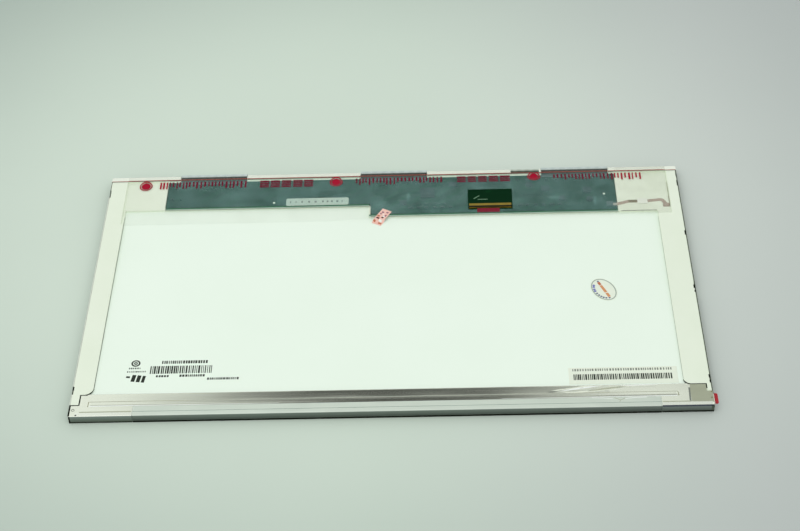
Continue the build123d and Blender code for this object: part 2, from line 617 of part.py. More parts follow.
def led_flex():
    """Flex strip under the lamps, a tail back over the reflector, and its run to the board."""
    x0, x1 = TAIL_X - TAIL_WIDTH / 2, TAIL_X + TAIL_WIDTH / 2
    back = BAY_NEAR + FIT_GAP
    strip = layer(area(-GUIDE_HALF, x1, back, GUIDE_NEAR - LED_GAP), Z_LED_FLEX, Z_LED_FLEX + FLEX_T)

    slot_far = tail_slot_far()
    slot_near = slot_far - TAIL_SLOT + FLEX_T
    z_over = reflector_rear(GUIDE_NEAR) + SHEET_GAP
    z_slot = reflector_rear(slot_near) + SHEET_GAP
    z_band = Z_BOARD_TOP
    ramp_top = slot_far - FLEX_T
    under = [(back + FLEX_T, Z_LED_FLEX + FLEX_T / 2), (back + FLEX_T, z_over), (GUIDE_NEAR, z_over),
             (slot_near, z_slot), (ramp_top, z_band), (slot_far + RUN_WIDTH / 2, z_band)]
    over = [(slot_far + RUN_WIDTH / 2, z_band + FLEX_T), (ramp_top - FLEX_T, z_band + FLEX_T),
            (slot_near - FLEX_T, z_slot + FLEX_T), (GUIDE_NEAR, z_over + FLEX_T), (back, z_over + FLEX_T),
            (back, Z_LED_FLEX + FLEX_T / 2)]
    tail = bar(under + over, x0, x1)
    run = layer(trace(run_line(), RUN_WIDTH), z_band, z_band + FLEX_T)
    return strip + tail + run


def leds():
    """Side-emitting lamps on the flex strip, cups towards the light guide."""
    front = GUIDE_NEAR - LED_GAP
    z0 = Z_LED_FLEX + FLEX_T
    lamps = []
    for i in range(LED_COUNT):
        x = (i - (LED_COUNT - 1) / 2) * ACTIVE_WIDTH / LED_COUNT
        body = area(x - LED_WIDTH / 2, x + LED_WIDTH / 2, front - LED_DEPTH, front)
        lamp = layer(body, z0, z0 + LED_HEIGHT)
        cup_half = LED_WIDTH / 2 - LED_RIM
        cup = area(x - cup_half, x + cup_half, front - LED_CUP, front + THROUGH)
        lamps.append(lamp - layer(cup, z0 + LED_RIM, z0 + LED_HEIGHT - LED_RIM))
    return Compound(children=lamps)


def light_bar_cover():
    """Bright sheet over the lamps: rear plate with a pressed rib, and a wall behind the bezel's."""
    half = RIGHT - BEZEL_T - FIT_GAP
    wall_near = NEAR + BEZEL_T + FIT_GAP
    plate = area(-half, half, wall_near, NEAR + COVER_DEPTH, BEZEL_CORNER_R)
    plate -= offset(strip_ends(), TONGUE_GAP)
    cover = layer(plate, Z_COVER, Z_FRAME_REAR)

    rib_x0, rib_x1 = LEFT + RIB_LEFT, RIGHT - RIB_RIGHT
    foot = SlotOverall(rib_x1 - rib_x0, RIB_WIDTH)
    crest = SlotOverall(rib_x1 - rib_x0 - 2 * RIB_HEIGHT, RIB_WIDTH - 2 * RIB_HEIGHT)
    place = Pos((rib_x0 + rib_x1) / 2, NEAR + RIB_INSET, 0)
    cover += place * loft([Pos(0, 0, Z_FRAME_REAR) * foot, Pos(0, 0, Z_FRAME_REAR + RIB_HEIGHT) * crest])
    cover -= place * loft([Pos(0, 0, Z_COVER) * foot, Pos(0, 0, Z_COVER + RIB_HEIGHT) * crest])

    dimple = Pos(LEFT + DIMPLE_INSET[0], NEAR + DIMPLE_INSET[1]) * Circle(DIMPLE_R)
    cover -= layer(dimple, Z_FRAME_REAR - DIMPLE_DEPTH, Z_FRAME_REAR)
    wall_half = half - COVER_WALL_INSET
    wall = area(-wall_half, wall_half, wall_near, wall_near + COVER_T)
    cover += layer(wall, Z_COVER - COVER_WALL, Z_COVER)
    return cover


def edge_foil_tape():
    """Foil stuck to the cover, over the bezel's near lip and down its near wall."""
    lip = NEAR + NEAR_LIP
    reach = NEAR + RIB_INSET - RIB_WIDTH / 2 - FOIL_RIB_GAP
    z_foot = Z_LIP - FOIL_DROP
    inner_bend, outer_bend = (NEAR, Z_LIP), (NEAR - FOIL_T, Z_LIP + FOIL_T)
    inside = [(reach, Z_FRAME_REAR), (lip + BEZEL_T, Z_FRAME_REAR), (lip, Z_LIP), inner_bend, (NEAR, z_foot)]
    outside = [(NEAR - FOIL_T, z_foot), outer_bend, (lip + FOIL_T, Z_LIP + FOIL_T),
               (lip + BEZEL_T + FOIL_T, Z_FRAME_REAR + FOIL_T), (reach, Z_FRAME_REAR + FOIL_T)]
    bends = [(inner_bend, BEND_R), (outer_bend, BEND_R + FOIL_T)]
    return bar(inside + outside, LEFT + FOIL_LEFT, RIGHT - FOIL_RIGHT, bends)


def corner_foil():
    """Foil patch on the cover's right end, cut round the frame's tongue."""
    x1 = RIGHT - BEZEL_T - FIT_GAP
    patch = area(x1 - CORNER_FOIL_WIDTH, x1, NEAR + NEAR_LIP + FIT_GAP, NEAR + COVER_DEPTH)
    patch -= offset(strip_ends(), TONGUE_GAP)
    return layer(patch, Z_FRAME_REAR, Z_FRAME_REAR + FOIL_T)


def lip_tape():
    """Dark tape that holds the cover film on the far lip, beside the right driver film."""
    x1 = DRIVER_FILM_XS[-1] - DRIVER_FILM_WIDTH / 2 - LIP_TAPE_GAP
    shape = area(x1 - LIP_TAPE_LENGTH, x1, RIM_NEAR + LIP_TAPE_INSET, FAR - LIP_TAPE_INSET)
    z0 = Z_LIP + FILM_T
    return layer(shape, z0, z0 + LABEL_T)


def control_board():
    """Stepped board with clearance holes for the frame's pins and two tooling holes."""
    board = layer(board_outline(), Z_BOARD, Z_BOARD_TOP)
    holes = [(x, y, PIN_R + FRAME_CLEARANCE) for x, y in PIN_PLACES]
    holes += [(BOARD_LEFT + x, BOARD_FAR - y, radius) for x, y, radius in TOOLING_HOLES]
    for x, y, radius in holes:
        board -= layer(Pos(x, y) * Circle(radius), Z_BOARD, Z_BOARD_TOP)
    return board


def component_rows(size, rows, counts):
    """Rows of one kind of component along X, from the first centre towards the right."""
    parts = []
    for (x, y, pitch), count in zip(rows, counts):
        parts += [on_board(x - i * pitch, y, *size) for i in range(count)]
    return Compound(children=parts)


def led_connector():
    """Socket at the board's right edge that the flex run plugs into."""
    x, y = LED_SOCKET_INSET[0], BOARD_WIDE - LED_SOCKET_INSET[1]
    width, depth, height = LED_SOCKET
    socket = on_board(x, y, width, depth, height)
    mouth = x - width / 2 + LED_SOCKET_SLOT / 2
    return socket - on_board(mouth, y, LED_SOCKET_SLOT, RUN_WIDTH + 2 * FIT_GAP, FLEX_T + FIT_GAP)


def signal_connector():
    """Housing with a slot towards the near edge, a row of contacts and a sheet shell, in that order."""
    near = BOARD_NEAR + CONNECTOR_FROM_EDGE
    far = near + CONNECTOR_DEPTH
    half = CONNECTOR_WIDTH / 2 - SHELL_T
    z0, z1 = Z_BOARD_TOP, Z_BOARD_TOP + CONNECTOR_HEIGHT - SHELL_T
    x = CONNECTOR_X
    housing = layer(area(x - half, x + half, near, far), z0, z1)
    slot_half = half - CONNECTOR_END
    slot = area(x - slot_half, x + slot_half, near - THROUGH, near + SLOT_DEPTH)
    housing -= layer(slot, z0 + CONTACT_T + CONNECTOR_WALL, z1 - CONNECTOR_WALL)
    contacts = []
    for i in range(CONTACT_COUNT):
        cx = x + (i - (CONTACT_COUNT - 1) / 2) * CONTACT_PITCH
        pin_half, groove_half = CONTACT_WIDTH / 2, CONTACT_WIDTH / 2 + FIT_GAP
        pin = area(cx - pin_half, cx + pin_half, near, far + CONTACT_TAIL)
        contacts.append(layer(pin, z0, z0 + CONTACT_T))
        groove = area(cx - groove_half, cx + groove_half, near - THROUGH, far + THROUGH)
        housing -= layer(groove, z0, z0 + CONTACT_T + FIT_GAP)
    shell_half = half + SHELL_T
    shell = layer(area(x - shell_half, x + shell_half, near, near + SHELL_DEPTH), z0, z1 + SHELL_T)
    shell -= layer(area(x - half, x + half, near - THROUGH, far + THROUGH), z0, z1)
    return housing, Compound(children=contacts), shell


def board_cover_film():
    """Clear film over the board, raised over the taller parts and lapped onto the far lip."""
    x0, x1 = LEFT + FILM_LEFT, RIGHT - FILM_RIGHT
    lip, far = RIM_NEAR, FAR - FILM_FAR_INSET
    under = [(FILM_NEAR, Z_FILM), (lip - FILM_SLOPE, Z_FILM), (lip, Z_LIP), (far, Z_LIP)]
    over = [(y, z + FILM_T) for y, z in reversed(under)]
    film = bar(under + over, x0, x1)

    left, right = BLISTER_LEFT, BOARD_RIGHT - BLISTER_RIGHT_INSET
    front, back = BOARD_NEAR + BLISTER_NEAR_INSET, BOARD_FAR - BLISTER_FAR_INSET
    base = area(left, right, front, back)
    crown = area(left + BLISTER_SIDE, right - BLISTER_SIDE, front + BLISTER_SIDE, back - BLISTER_SIDE)
    blister = loft([Pos(0, 0, Z_FILM) * base, Pos(0, 0, Z_FILM + BLISTER_HEIGHT) * crown])
    film += Pos(0, 0, FILM_T) * blister
    film -= blister

    window_near = BOARD_NEAR + CONNECTOR_FROM_EDGE - WINDOW_BEFORE_CONNECTOR
    half = CONNECTOR_WIDTH / 2 + WINDOW_MARGIN
    window = area(CONNECTOR_X - half, CONNECTOR_X + half, window_near, window_near + WINDOW_DEPTH)
    return film - layer(window, Z_BOARD_TOP, Z_LIP + THROUGH)


def board_label():
    x, y = BOARD_LEFT + BOARD_LABEL_PLACE[0], BOARD_FAR - BOARD_LABEL_PLACE[1]
    width, depth = BOARD_LABEL_SIZE
    shape = area(x - width / 2, x + width / 2, y - depth / 2, y + depth / 2, BOARD_LABEL_ROUND)
    return layer(shape, Z_BOARD_TOP, Z_BOARD_TOP + LABEL_T)


def connector_label():
    x, y = CONNECTOR_FROM_RIGHT + CONNECTOR_LABEL_SHIFT, BOARD_WIDE - CONNECTOR_LABEL_FROM_EDGE
    return on_board(x, y, *CONNECTOR_LABEL_SIZE, LABEL_T)


def barcode_label():
    place = (RIGHT - BARCODE_LABEL_INSET[0], NEAR + BARCODE_LABEL_INSET[1])
    return on_reflector(Rectangle(*BARCODE_LABEL_SIZE), place, LABEL_T)


def inspection_sticker():
    place = (RIGHT - OVAL_INSET[0], NEAR + OVAL_INSET[1])
    return on_reflector(Rot(0, 0, OVAL_TURN) * Ellipse(*OVAL_HALF_AXES), place, LABEL_T)


def seal_sticker():
    """Small sticker that bridges the film's near edge and bends down onto the reflector."""
    foot = FILM_NEAR - SEAL_DROP
    far, near = FILM_NEAR + SEAL_LENGTH, FILM_NEAR - SEAL_LENGTH
    z_top = Z_FILM + FILM_T
    under = [(far, z_top), (FILM_NEAR - FIT_GAP, z_top),
             (foot, reflector_rear(foot)), (near, reflector_rear(near))]
    over = [(y, z + LABEL_T) for y, z in reversed(under)]
    x, y = BLISTER_LEFT - SEAL_BEFORE_BLISTER, FILM_NEAR + SEAL_ON_FILM
    sheet = bar(under + over, x - SEAL_LENGTH, x + SEAL_LENGTH)
    shape = Pos(x, y) * Rot(0, 0, SEAL_TURN) * Rectangle(SEAL_WIDTH, SEAL_LENGTH)
    return sheet & layer(shape, 0, Z_LIP + THROUGH)


def flex_patch(x0, length, width, z, thickness):
    """A patch on the straight stretch of the flex run, its left end at a given X."""
    y = BOARD_NEAR + LED_SOCKET_INSET[1] + RUN_SHIFT
    return layer(area(x0, x0 + length, y - width / 2, y + width / 2), z, z + thickness)


def build_parts():
    """Every node of the panel by name."""
    housing, contacts, shell = signal_connector()
    z_run = Z_BOARD_TOP + FLEX_T
    stiffener_x = BOARD_RIGHT + RUN_LEAD
    tape_x = stiffener_x + STIFFENER_LENGTH
    parts = {
        "front_protective_film": front_protective_film(),
        "pull_tab": pull_tab(),
        "front_bezel": front_bezel(),
        "front_polariser": cell_layer(FRONT_POLARISER_MARGIN, Z_CELL, POLARISER_T),
        "colour_filter_glass": cell_layer(CELL_MARGIN, Z_FILTER_GLASS, GLASS_T),
        "array_glass": cell_layer(CELL_MARGIN, Z_ARRAY_GLASS, GLASS_T, GATE_LEDGE, SOURCE_LEDGE),
        "rear_polariser": cell_layer(REAR_POLARISER_MARGIN, Z_REAR_POLARISER, POLARISER_T),
        "gate_driver_chips": gate_driver_chips(),
        "source_driver_chips": source_driver_chips(),
        "rim_tape": rim_tape(),
        "upper_diffuser": optic_sheet(0),
        "upper_prism_sheet": optic_sheet(1),
        "lower_prism_sheet": optic_sheet(2),
        "lower_diffuser": optic_sheet(3),
        "light_guide": light_guide(),
        "reflector_sheet": reflector_sheet(),
        "mould_frame": mould_frame(),
        "screw_inserts": screw_inserts(),
        "led_flex": led_flex(),
        "leds": leds(),
        "light_bar_cover": light_bar_cover(),
        "edge_foil_tape": edge_foil_tape(),
        "corner_foil": corner_foil(),
        "lip_tape": lip_tape(),
        "control_board": control_board(),
        "timing_controller": on_board(*TIMING_CONTROLLER),
        "memory_chip": on_board(*MEMORY_CHIP),
        "power_chips": Compound(children=[on_board(*chip) for chip in POWER_CHIPS]),
        "inductors": Compound(children=[on_board(*coil, INDUCTOR_CHAMFER) for coil in INDUCTORS]),
        "ceramic_capacitors": component_rows(CAPACITOR, CAPACITOR_ROWS, CAPACITOR_COUNT),
        "chip_resistors": component_rows(CHIP_RESISTOR, CHIP_RESISTOR_ROWS, CHIP_RESISTOR_COUNT),
        "led_connector": led_connector(),
        "signal_connector_housing": housing,
        "signal_connector_contacts": contacts,
        "signal_connector_shell": shell,
        "board_cover_film": board_cover_film(),
        "flex_stiffener": flex_patch(stiffener_x, STIFFENER_LENGTH, RUN_WIDTH, z_run, STIFFENER_T),
        "flex_tape": flex_patch(tape_x, FLEX_TAPE_LENGTH, FLEX_TAPE_WIDTH, z_run, LABEL_T),
        "board_label": board_label(),
        "connector_label": connector_label(),
        "barcode_label": barcode_label(),
        "inspection_sticker": inspection_sticker(),
        "seal_sticker": seal_sticker(),
    }
    for name, x in zip(DRIVER_FILM_NAMES, DRIVER_FILM_XS):
        parts["source_driver_film_" + name] = driver_film(x)
    return parts


os.makedirs("parts", exist_ok=True)
for node, shape in build_parts().items():
    export_step(shape, f"parts/{node}.step")
print(f"module {MODULE_WIDTH:.2f} x {MODULE_DEPTH:.2f} mm, rear lip at {Z_LIP:.2f} mm")
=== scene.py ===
"""Looks of a laptop screen panel that lies face down on a pale floor.

The CAD solids are the frame. This script gives each one a finish, and adds the pieces that the solids only
block out: the rippled cover film, the creased metal over the lamps, and the printing on film and labels.
Lengths are in millimetres until a mesh is made. X runs to the right, Y to the far edge and Z up.
"""

import bpy
import numpy as np
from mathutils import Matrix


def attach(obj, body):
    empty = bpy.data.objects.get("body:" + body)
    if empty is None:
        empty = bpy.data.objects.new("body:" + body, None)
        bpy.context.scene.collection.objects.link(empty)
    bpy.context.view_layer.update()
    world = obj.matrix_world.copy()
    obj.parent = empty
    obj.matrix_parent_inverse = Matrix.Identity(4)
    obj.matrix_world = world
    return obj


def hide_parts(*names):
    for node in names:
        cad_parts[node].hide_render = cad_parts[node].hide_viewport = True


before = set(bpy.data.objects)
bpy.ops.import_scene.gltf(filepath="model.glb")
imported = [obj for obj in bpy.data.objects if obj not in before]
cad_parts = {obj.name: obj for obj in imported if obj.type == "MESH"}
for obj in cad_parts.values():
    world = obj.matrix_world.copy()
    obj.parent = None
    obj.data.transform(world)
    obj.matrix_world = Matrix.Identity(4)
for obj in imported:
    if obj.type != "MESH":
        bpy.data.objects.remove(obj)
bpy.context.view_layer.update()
rng = np.random.default_rng(15)

MM = 0.001
WAVE = 20            # radians in one unit of a wave texture
INK = 0.02           # how far a printed mark stands proud
STRIP = 0.03         # thickness of a strip or a printed mark
LABEL = 0.08         # thickness of a label


# Materials

def tone(code):
    """Linear colour of an sRGB hex value."""
    share = np.array([int(code[i:i + 2], 16) for i in (1, 3, 5)]) / 255
    return (*np.where(share <= 0.04045, share / 12.92, ((share + 0.055) / 1.055) ** 2.4), 1.0)


def add(tree, kind, sockets=None, **settings):
    """Adds one node with its settings and links.

    A socket takes a value, another node's output, or a node, which then gives its first live output.
    """
    node = tree.nodes.new(kind)
    for key, value in settings.items():
        setattr(node, key, value)
    for key, value in (sockets or {}).items():
        if isinstance(value, bpy.types.Node):
            value = next(output for output in value.outputs if output.enabled)
        if isinstance(value, bpy.types.NodeSocket):
            tree.links.new(value, node.inputs[key])
        else:
            node.inputs[key].default_value = value
    return node


def surface(name):
    """A new, empty material, its tree, and the place in the frame that its patterns read."""
    material = bpy.data.materials.new(name)
    material.use_nodes = True
    tree = material.node_tree
    tree.nodes.clear()
    return material, tree, add(tree, "ShaderNodeTexCoord").outputs["Object"]


def coat(tree, sockets):
    """Ends a material's tree with one Principled shader that takes these values and patterns."""
    shader = add(tree, "ShaderNodeBsdfPrincipled", sockets)
    add(tree, "ShaderNodeOutputMaterial", {"Surface": shader})


def mottled(name, tones, grain, rough, relief=0.0, stretch=(1, 1, 1), ior=1.5, shine=0.5, metal=0.0,
            painted_wall_shade=None):
    """A finish that drifts between two near tones and two roughnesses.

    grain is the size of a patch in mm along Y, stretch divides it along each axis, and relief is the height
    in mm of the finer unevenness, a quarter of a patch wide. shine scales the gloss that the index gives,
    and 0.5 leaves it as it is. The wall tones are painted shade: darker tones on the faces that stand
    upright, at their foot, 1 mm up, and at their top, 5 mm up.
    """
    material, tree, place = surface(name)
    spread = add(tree, "ShaderNodeMapping", {"Vector": place, "Scale": stretch})
    drift = add(tree, "ShaderNodeTexNoise", {"Vector": spread, "Scale": 1 / (grain * MM), "Detail": 3.0})
    colour = add(tree, "ShaderNodeMix", {0: drift, 6: tone(tones[0]), 7: tone(tones[1])}, data_type="RGBA")
    # Faces that stand upright take the darker wall tones, from foot to top: painted shade.
    if painted_wall_shade:
        normal = add(tree, "ShaderNodeNewGeometry").outputs["Normal"]
        lean = add(tree, "ShaderNodeSeparateXYZ", {0: normal}).outputs["Z"]
        upward = add(tree, "ShaderNodeMath", {0: lean}, operation="ABSOLUTE")
        lying = add(tree, "ShaderNodeMapRange", {0: upward, 1: 0.3, 2: 0.8})
        height = add(tree, "ShaderNodeSeparateXYZ", {0: place}).outputs["Z"]
        up = add(tree, "ShaderNodeMapRange", {0: height, 1: 1.0 * MM, 2: 5.0 * MM})
        wall = add(tree, "ShaderNodeMix", {0: up, 6: tone(painted_wall_shade[0]), 7: tone(painted_wall_shade[1])}, data_type="RGBA")
        colour = add(tree, "ShaderNodeMix", {0: lying, 6: wall, 7: colour}, data_type="RGBA")
    gloss = add(tree, "ShaderNodeMapRange", {0: drift, 3: rough[0], 4: rough[1]})
    look = {"IOR": ior, "Specular IOR Level": shine, "Metallic": metal, "Base Color": colour,
            "Roughness": gloss}
    if relief:
        fine = add(tree, "ShaderNodeTexNoise", {"Vector": spread, "Scale": 4 / (grain * MM), "Detail": 2.0})
        bump = {"Height": fine, "Distance": relief * MM, "Strength": 1.0}
        look["Normal"] = add(tree, "ShaderNodeBump", bump)
    coat(tree, look)
    return material


# Injection-moulded white polycarbonate: an even satin white, a little warmer than the film beside it.
polycarbonate = mottled("white_polycarbonate", ("#E0EAD4", "#E9F1DF"), 30, (0.42, 0.54), 0.004, ior=1.58)
# Voided white polyester film: the brightest white, smooth, with the faint waves of a loose sheet.
polyester = mottled("white_polyester_film", ("#E8F5E5", "#EDF9EB"), 60, (0.34, 0.46), 0.03, ior=1.6)
# Tinned sheet steel, pressed: bright, with long rolling streaks, and grey painted shade on its drawn walls.
tinplate = mottled("tinned_steel", ("#E6EBDC", "#F1F5E8"), 0.9, (0.13, 0.2), 0.003, (0.03, 1, 1),
                   metal=1.0, painted_wall_shade=("#71776F", "#9AA1A0"))
# Bright-rolled sheet over the lamps: nearly a mirror along its length, so it shows the room's dark and light.
bright_sheet = mottled("bright_rolled_sheet", ("#E2E7D6", "#EDF1E0"), 1.2, (0.10, 0.16), 0.002,
                       (0.02, 1, 1), metal=1.0)
# Aluminium foil tape: paler and more scattering than the sheet, with fine handling crinkles.
# The foil's upright part takes darker wall tones: painted shade.
foil = mottled("aluminium_foil_tape", ("#D0DACE", "#E0E8DC"), 5, (0.5, 0.62), 0.02, (0.25, 1, 1),
               metal=1.0, painted_wall_shade=("#5F6762", "#8A928C"))
# Dull foil patch at the corner: the same tape, handled to an olive grey.
dull_foil = mottled("handled_foil_patch", ("#AEB39B", "#BABEA7"), 3, (0.4, 0.52), 0.015, (0.5, 1, 1),
                    metal=1.0)
# Transfer-moulded epoxy: matt black with a fine grit.
epoxy = mottled("black_epoxy", ("#0B1210", "#151D1A"), 1.5, (0.5, 0.66), 0.006, ior=1.55, shine=0.1)
# Black polyester tape: a flat black with a low sheen.
black_tape = mottled("black_polyester_tape", ("#141615", "#202322"), 6, (0.38, 0.5), 0.004, ior=1.58)
# Polyester diffuser and prism sheets: milky and smooth.
diffuser = mottled("milky_polyester_sheet", ("#DDE2DE", "#E6EAE6"), 20, (0.3, 0.42), 0.002, ior=1.6)
# Moulded acrylic light guide: water-white with a faint green cast, and glossy.
acrylic = mottled("moulded_acrylic", ("#D6E6E0", "#DFECE7"), 25, (0.06, 0.12), 0.002, ior=1.49)
# Blackened brass inserts: dark brown metal with fine tool lines.
brass = mottled("blackened_brass", ("#332F20", "#4C4630"), 0.5, (0.35, 0.48), 0.004, (1, 1, 6), metal=1.0)
# Coated polyimide flex: brownish grey over copper, paler and redder where the coating is thin.
flex = mottled("coated_polyimide_flex", ("#998B7A", "#B7A79A"), 3, (0.36, 0.5), 0.003, ior=1.6)
# Lamp bodies: white nylon, yellowed by the phosphor in their faces.
lamp = mottled("white_lamp_nylon", ("#E6E2C2", "#F0ECD4"), 1.2, (0.35, 0.5), 0.003, ior=1.53)
# Fired ceramic blocks under their lacquer: dark and slightly speckled.
ceramic = mottled("fired_ceramic", ("#15251C", "#22332A"), 0.6, (0.4, 0.55), 0.004, ior=1.7, shine=0.1)
# Amber moulded connector: brownish yellow, with the flow streaks of the filled plastic.
amber_moulding = mottled("amber_filled_plastic", ("#6E5A10", "#9A8324"), 1.2, (0.35, 0.48), 0.004,
                         (0.2, 1, 1), ior=1.55, shine=0.2)
# Blackened sheet of the connector's shell: near black, with short rolling streaks.
dark_plate = mottled("blackened_sheet", ("#1E1D12", "#2F2D1E"), 0.8, (0.35, 0.48), 0.002, (0.1, 1, 1),
                     metal=1.0)
# Dark nylon lamp socket: dull grey-green black.
nylon = mottled("dark_filled_nylon", ("#1D2724", "#2B3733"), 1.5, (0.45, 0.55), 0.003, ior=1.53)
# Gold plating over nickel: warm, bright and smooth.
gold = mottled("gold_plate", ("#A98424", "#C9A23A"), 0.6, (0.2, 0.32), 0.002, metal=1.0)
# Coated label paper: white with a faint fibre drift.
paper = mottled("coated_label_paper", ("#DFE8D5", "#EAF0DF"), 2.5, (0.5, 0.62), 0.004, ior=1.5)
# Thermal label paper on the board: grey with age.
thermal_paper = mottled("aged_thermal_paper", ("#A9B5A4", "#BAC5B4"), 2.5, (0.5, 0.62), 0.004, ior=1.5)
# White polyester tape over the flex: a plain satin white.
white_tape = mottled("white_polyester_tape", ("#E2E8D9", "#ECF0E4"), 3, (0.4, 0.5), 0.004, ior=1.58)
# Seal paper: pale pink, brittle and dull.
seal_paper = mottled("brittle_seal_paper", ("#E9B09C", "#F0CFC4"), 1.6, (0.6, 0.72), 0.006, ior=1.5)
# Printed red label: a flat dull red.
red_paper = mottled("red_printed_paper", ("#6E1A28", "#852536"), 1.5, (0.5, 0.6), 0.004, ior=1.5, shine=0.1)
# Polyimide stiffener: amber-brown film, satin.
amber = mottled("amber_polyimide", ("#66614A", "#7E785C"), 2, (0.35, 0.45), 0.003, ior=1.7)
# Polariser film: dark neutral grey, smooth and glossy.
polariser = mottled("polariser_film", ("#131517", "#1C1F21"), 40, (0.08, 0.14), 0.001, ior=1.5)
# Display glass: dark grey with a green cast, very smooth.
glass = mottled("display_glass", ("#3A4442", "#47524F"), 30, (0.04, 0.08), 0.001, ior=1.52)
# Red polyester pull tab: clear bright red, glossy.
red_tab = mottled("red_polyester_tab", ("#B00E1E", "#CC1526"), 2.5, (0.25, 0.36), 0.004,
                  ior=1.58, shine=0.3)
# Inks for print and painted shade and highlights: thin, flat, slightly broken in density, next to no gloss.
ink_tones = {
    "black": ("#20251F", "#3B4139"), "grey": ("#6E746B", "#878D83"), "red": ("#930A26", "#AC1432"),
    "line": ("#8E3F36", "#A65549"), "shade": ("#8A8672", "#9A9682"), "sage": ("#8D9D92", "#A0AFA4"),
    "deep": ("#5A1022", "#7A1A31"), "dull": ("#6E7262", "#7F8371"), "dark": ("#4E5548", "#5E6457"),
    "faint": ("#A6AB92", "#B6BAA3"), "pale_painted_light": ("#A9BFAF", "#B7CBBC"), "rim": ("#1E5A40", "#2A6B4E"),
    "violet": ("#6C72A8", "#8B90C4"), "slate": ("#5A6078", "#70768C"), "orange": ("#CC8A5C", "#DA9F74"),
    "rust": ("#B5674A", "#C98060"), "plum": ("#8B5566", "#A06F7E"), "maroon": ("#4A1A20", "#5E2A2C"),
    "white": ("#E6ECE4", "#F0F4EE"), "silk": ("#5F8668", "#7A9C80"), "press": ("#7C7C60", "#939376"),
}
ink = {name: mottled(name + "_ink", tones, 0.8, (0.6, 0.7), ior=1.5, shine=0.08)
       for name, tones in ink_tones.items()}
# Painted shade strips in gaps, notches and holes and along the walls: dull, gritty, black to pale grey.
shade_fill = mottled("black_shade_fill_strip", ("#10140F", "#1E241B"), 0.7, (0.8, 0.9), 0.02, ior=1.45, shine=0.1)
grey_shade_fill = mottled("grey_shade_fill_strip", ("#4A5246", "#5E6658"), 0.7, (0.8, 0.9), 0.01, ior=1.45, shine=0.1)
slate_shade_fill = mottled("slate_shade_fill_strip", ("#3E434B", "#50565E"), 0.7, (0.7, 0.8), 0.01, ior=1.45, shine=0.1)
pale_shade_fill = mottled("pale_shade_fill_strip", ("#AEB6AA", "#BEC5B9"), 0.7, (0.8, 0.9), 0.01, ior=1.45)


def solder_mask(block=14.0, radian=1.1, slant=0.785):
    """Green solder mask on glass-epoxy board: dull dark green, a little lighter where copper lies under it.

    The copper is slanting bands, in about half of the blocks. One radian of the wave is 1.1 mm, so the bands
    lie 6.9 mm apart: far coarser than real tracks, so that they show.
    """
    material, tree, place = surface("green_solder_mask")
    blocks = add(tree, "ShaderNodeTexVoronoi", {"Vector": place, "Scale": 1 / (block * MM)},
                 distance="CHEBYCHEV").outputs["Color"]
    turn = add(tree, "ShaderNodeMapping", {"Vector": place, "Rotation": (0, 0, slant)})
    lines = add(tree, "ShaderNodeTexWave", {"Vector": turn, "Scale": 1 / (WAVE * radian * MM),
                                            "Distortion": 0.6}).outputs["Fac"]
    track = add(tree, "ShaderNodeMath", {0: lines, 1: 0.62}, operation="GREATER_THAN")
    where = add(tree, "ShaderNodeSeparateColor", {0: blocks}).outputs["Red"]
    here = add(tree, "ShaderNodeMath", {0: where, 1: 0.5}, operation="GREATER_THAN")
    copper = add(tree, "ShaderNodeMath", {0: track, 1: here}, operation="MULTIPLY")
    green = add(tree, "ShaderNodeMix", {0: copper, 6: tone("#042913"), 7: tone("#063218")}, data_type="RGBA")
    bump = add(tree, "ShaderNodeBump", {"Height": copper, "Distance": 0.03 * MM})
    coat(tree, {"IOR": 1.55, "Roughness": 0.55, "Specular IOR Level": 0.02, "Base Color": green,
                "Normal": bump})
    return material


def driver_film(bend_highlight_from=103.7, bend_highlight_to=104.3, radian=0.9):
    """Polyimide film with tinned lines: dark under its resist, and pale round the bend as a painted
    highlight.

    Real lines are 0.05 mm apart. One radian of this wave is 0.9 mm, so these lie 5.7 mm apart and show.
    """
    material, tree, place = surface("tin_lined_polyimide")
    lines = add(tree, "ShaderNodeTexWave", {"Vector": place, "Scale": 1 / (WAVE * radian * MM)},
                bands_direction="X").outputs["Fac"]
    patches = add(tree, "ShaderNodeTexNoise", {"Vector": place, "Scale": 1 / (9.0 * MM)})
    mix = add(tree, "ShaderNodeMath", {0: lines, 1: patches}, operation="MULTIPLY")
    resist = add(tree, "ShaderNodeMix", {0: mix, 6: tone("#171A16"), 7: tone("#272A24")}, data_type="RGBA")
    tinned = add(tree, "ShaderNodeMix", {0: mix, 6: tone("#B4C2BD"), 7: tone("#C8D3CF")}, data_type="RGBA")
    # Painted highlight: the pale tinned tones round the bend.
    depth = add(tree, "ShaderNodeSeparateXYZ", {0: place}).outputs["Y"]
    bend_highlight = add(tree, "ShaderNodeMapRange", {0: depth, 1: bend_highlight_from * MM, 2: bend_highlight_to * MM})
    colour = add(tree, "ShaderNodeMix", {0: bend_highlight, 6: resist, 7: tinned}, data_type="RGBA")
    coat(tree, {"IOR": 1.7, "Roughness": 0.32, "Base Color": colour})
    return material


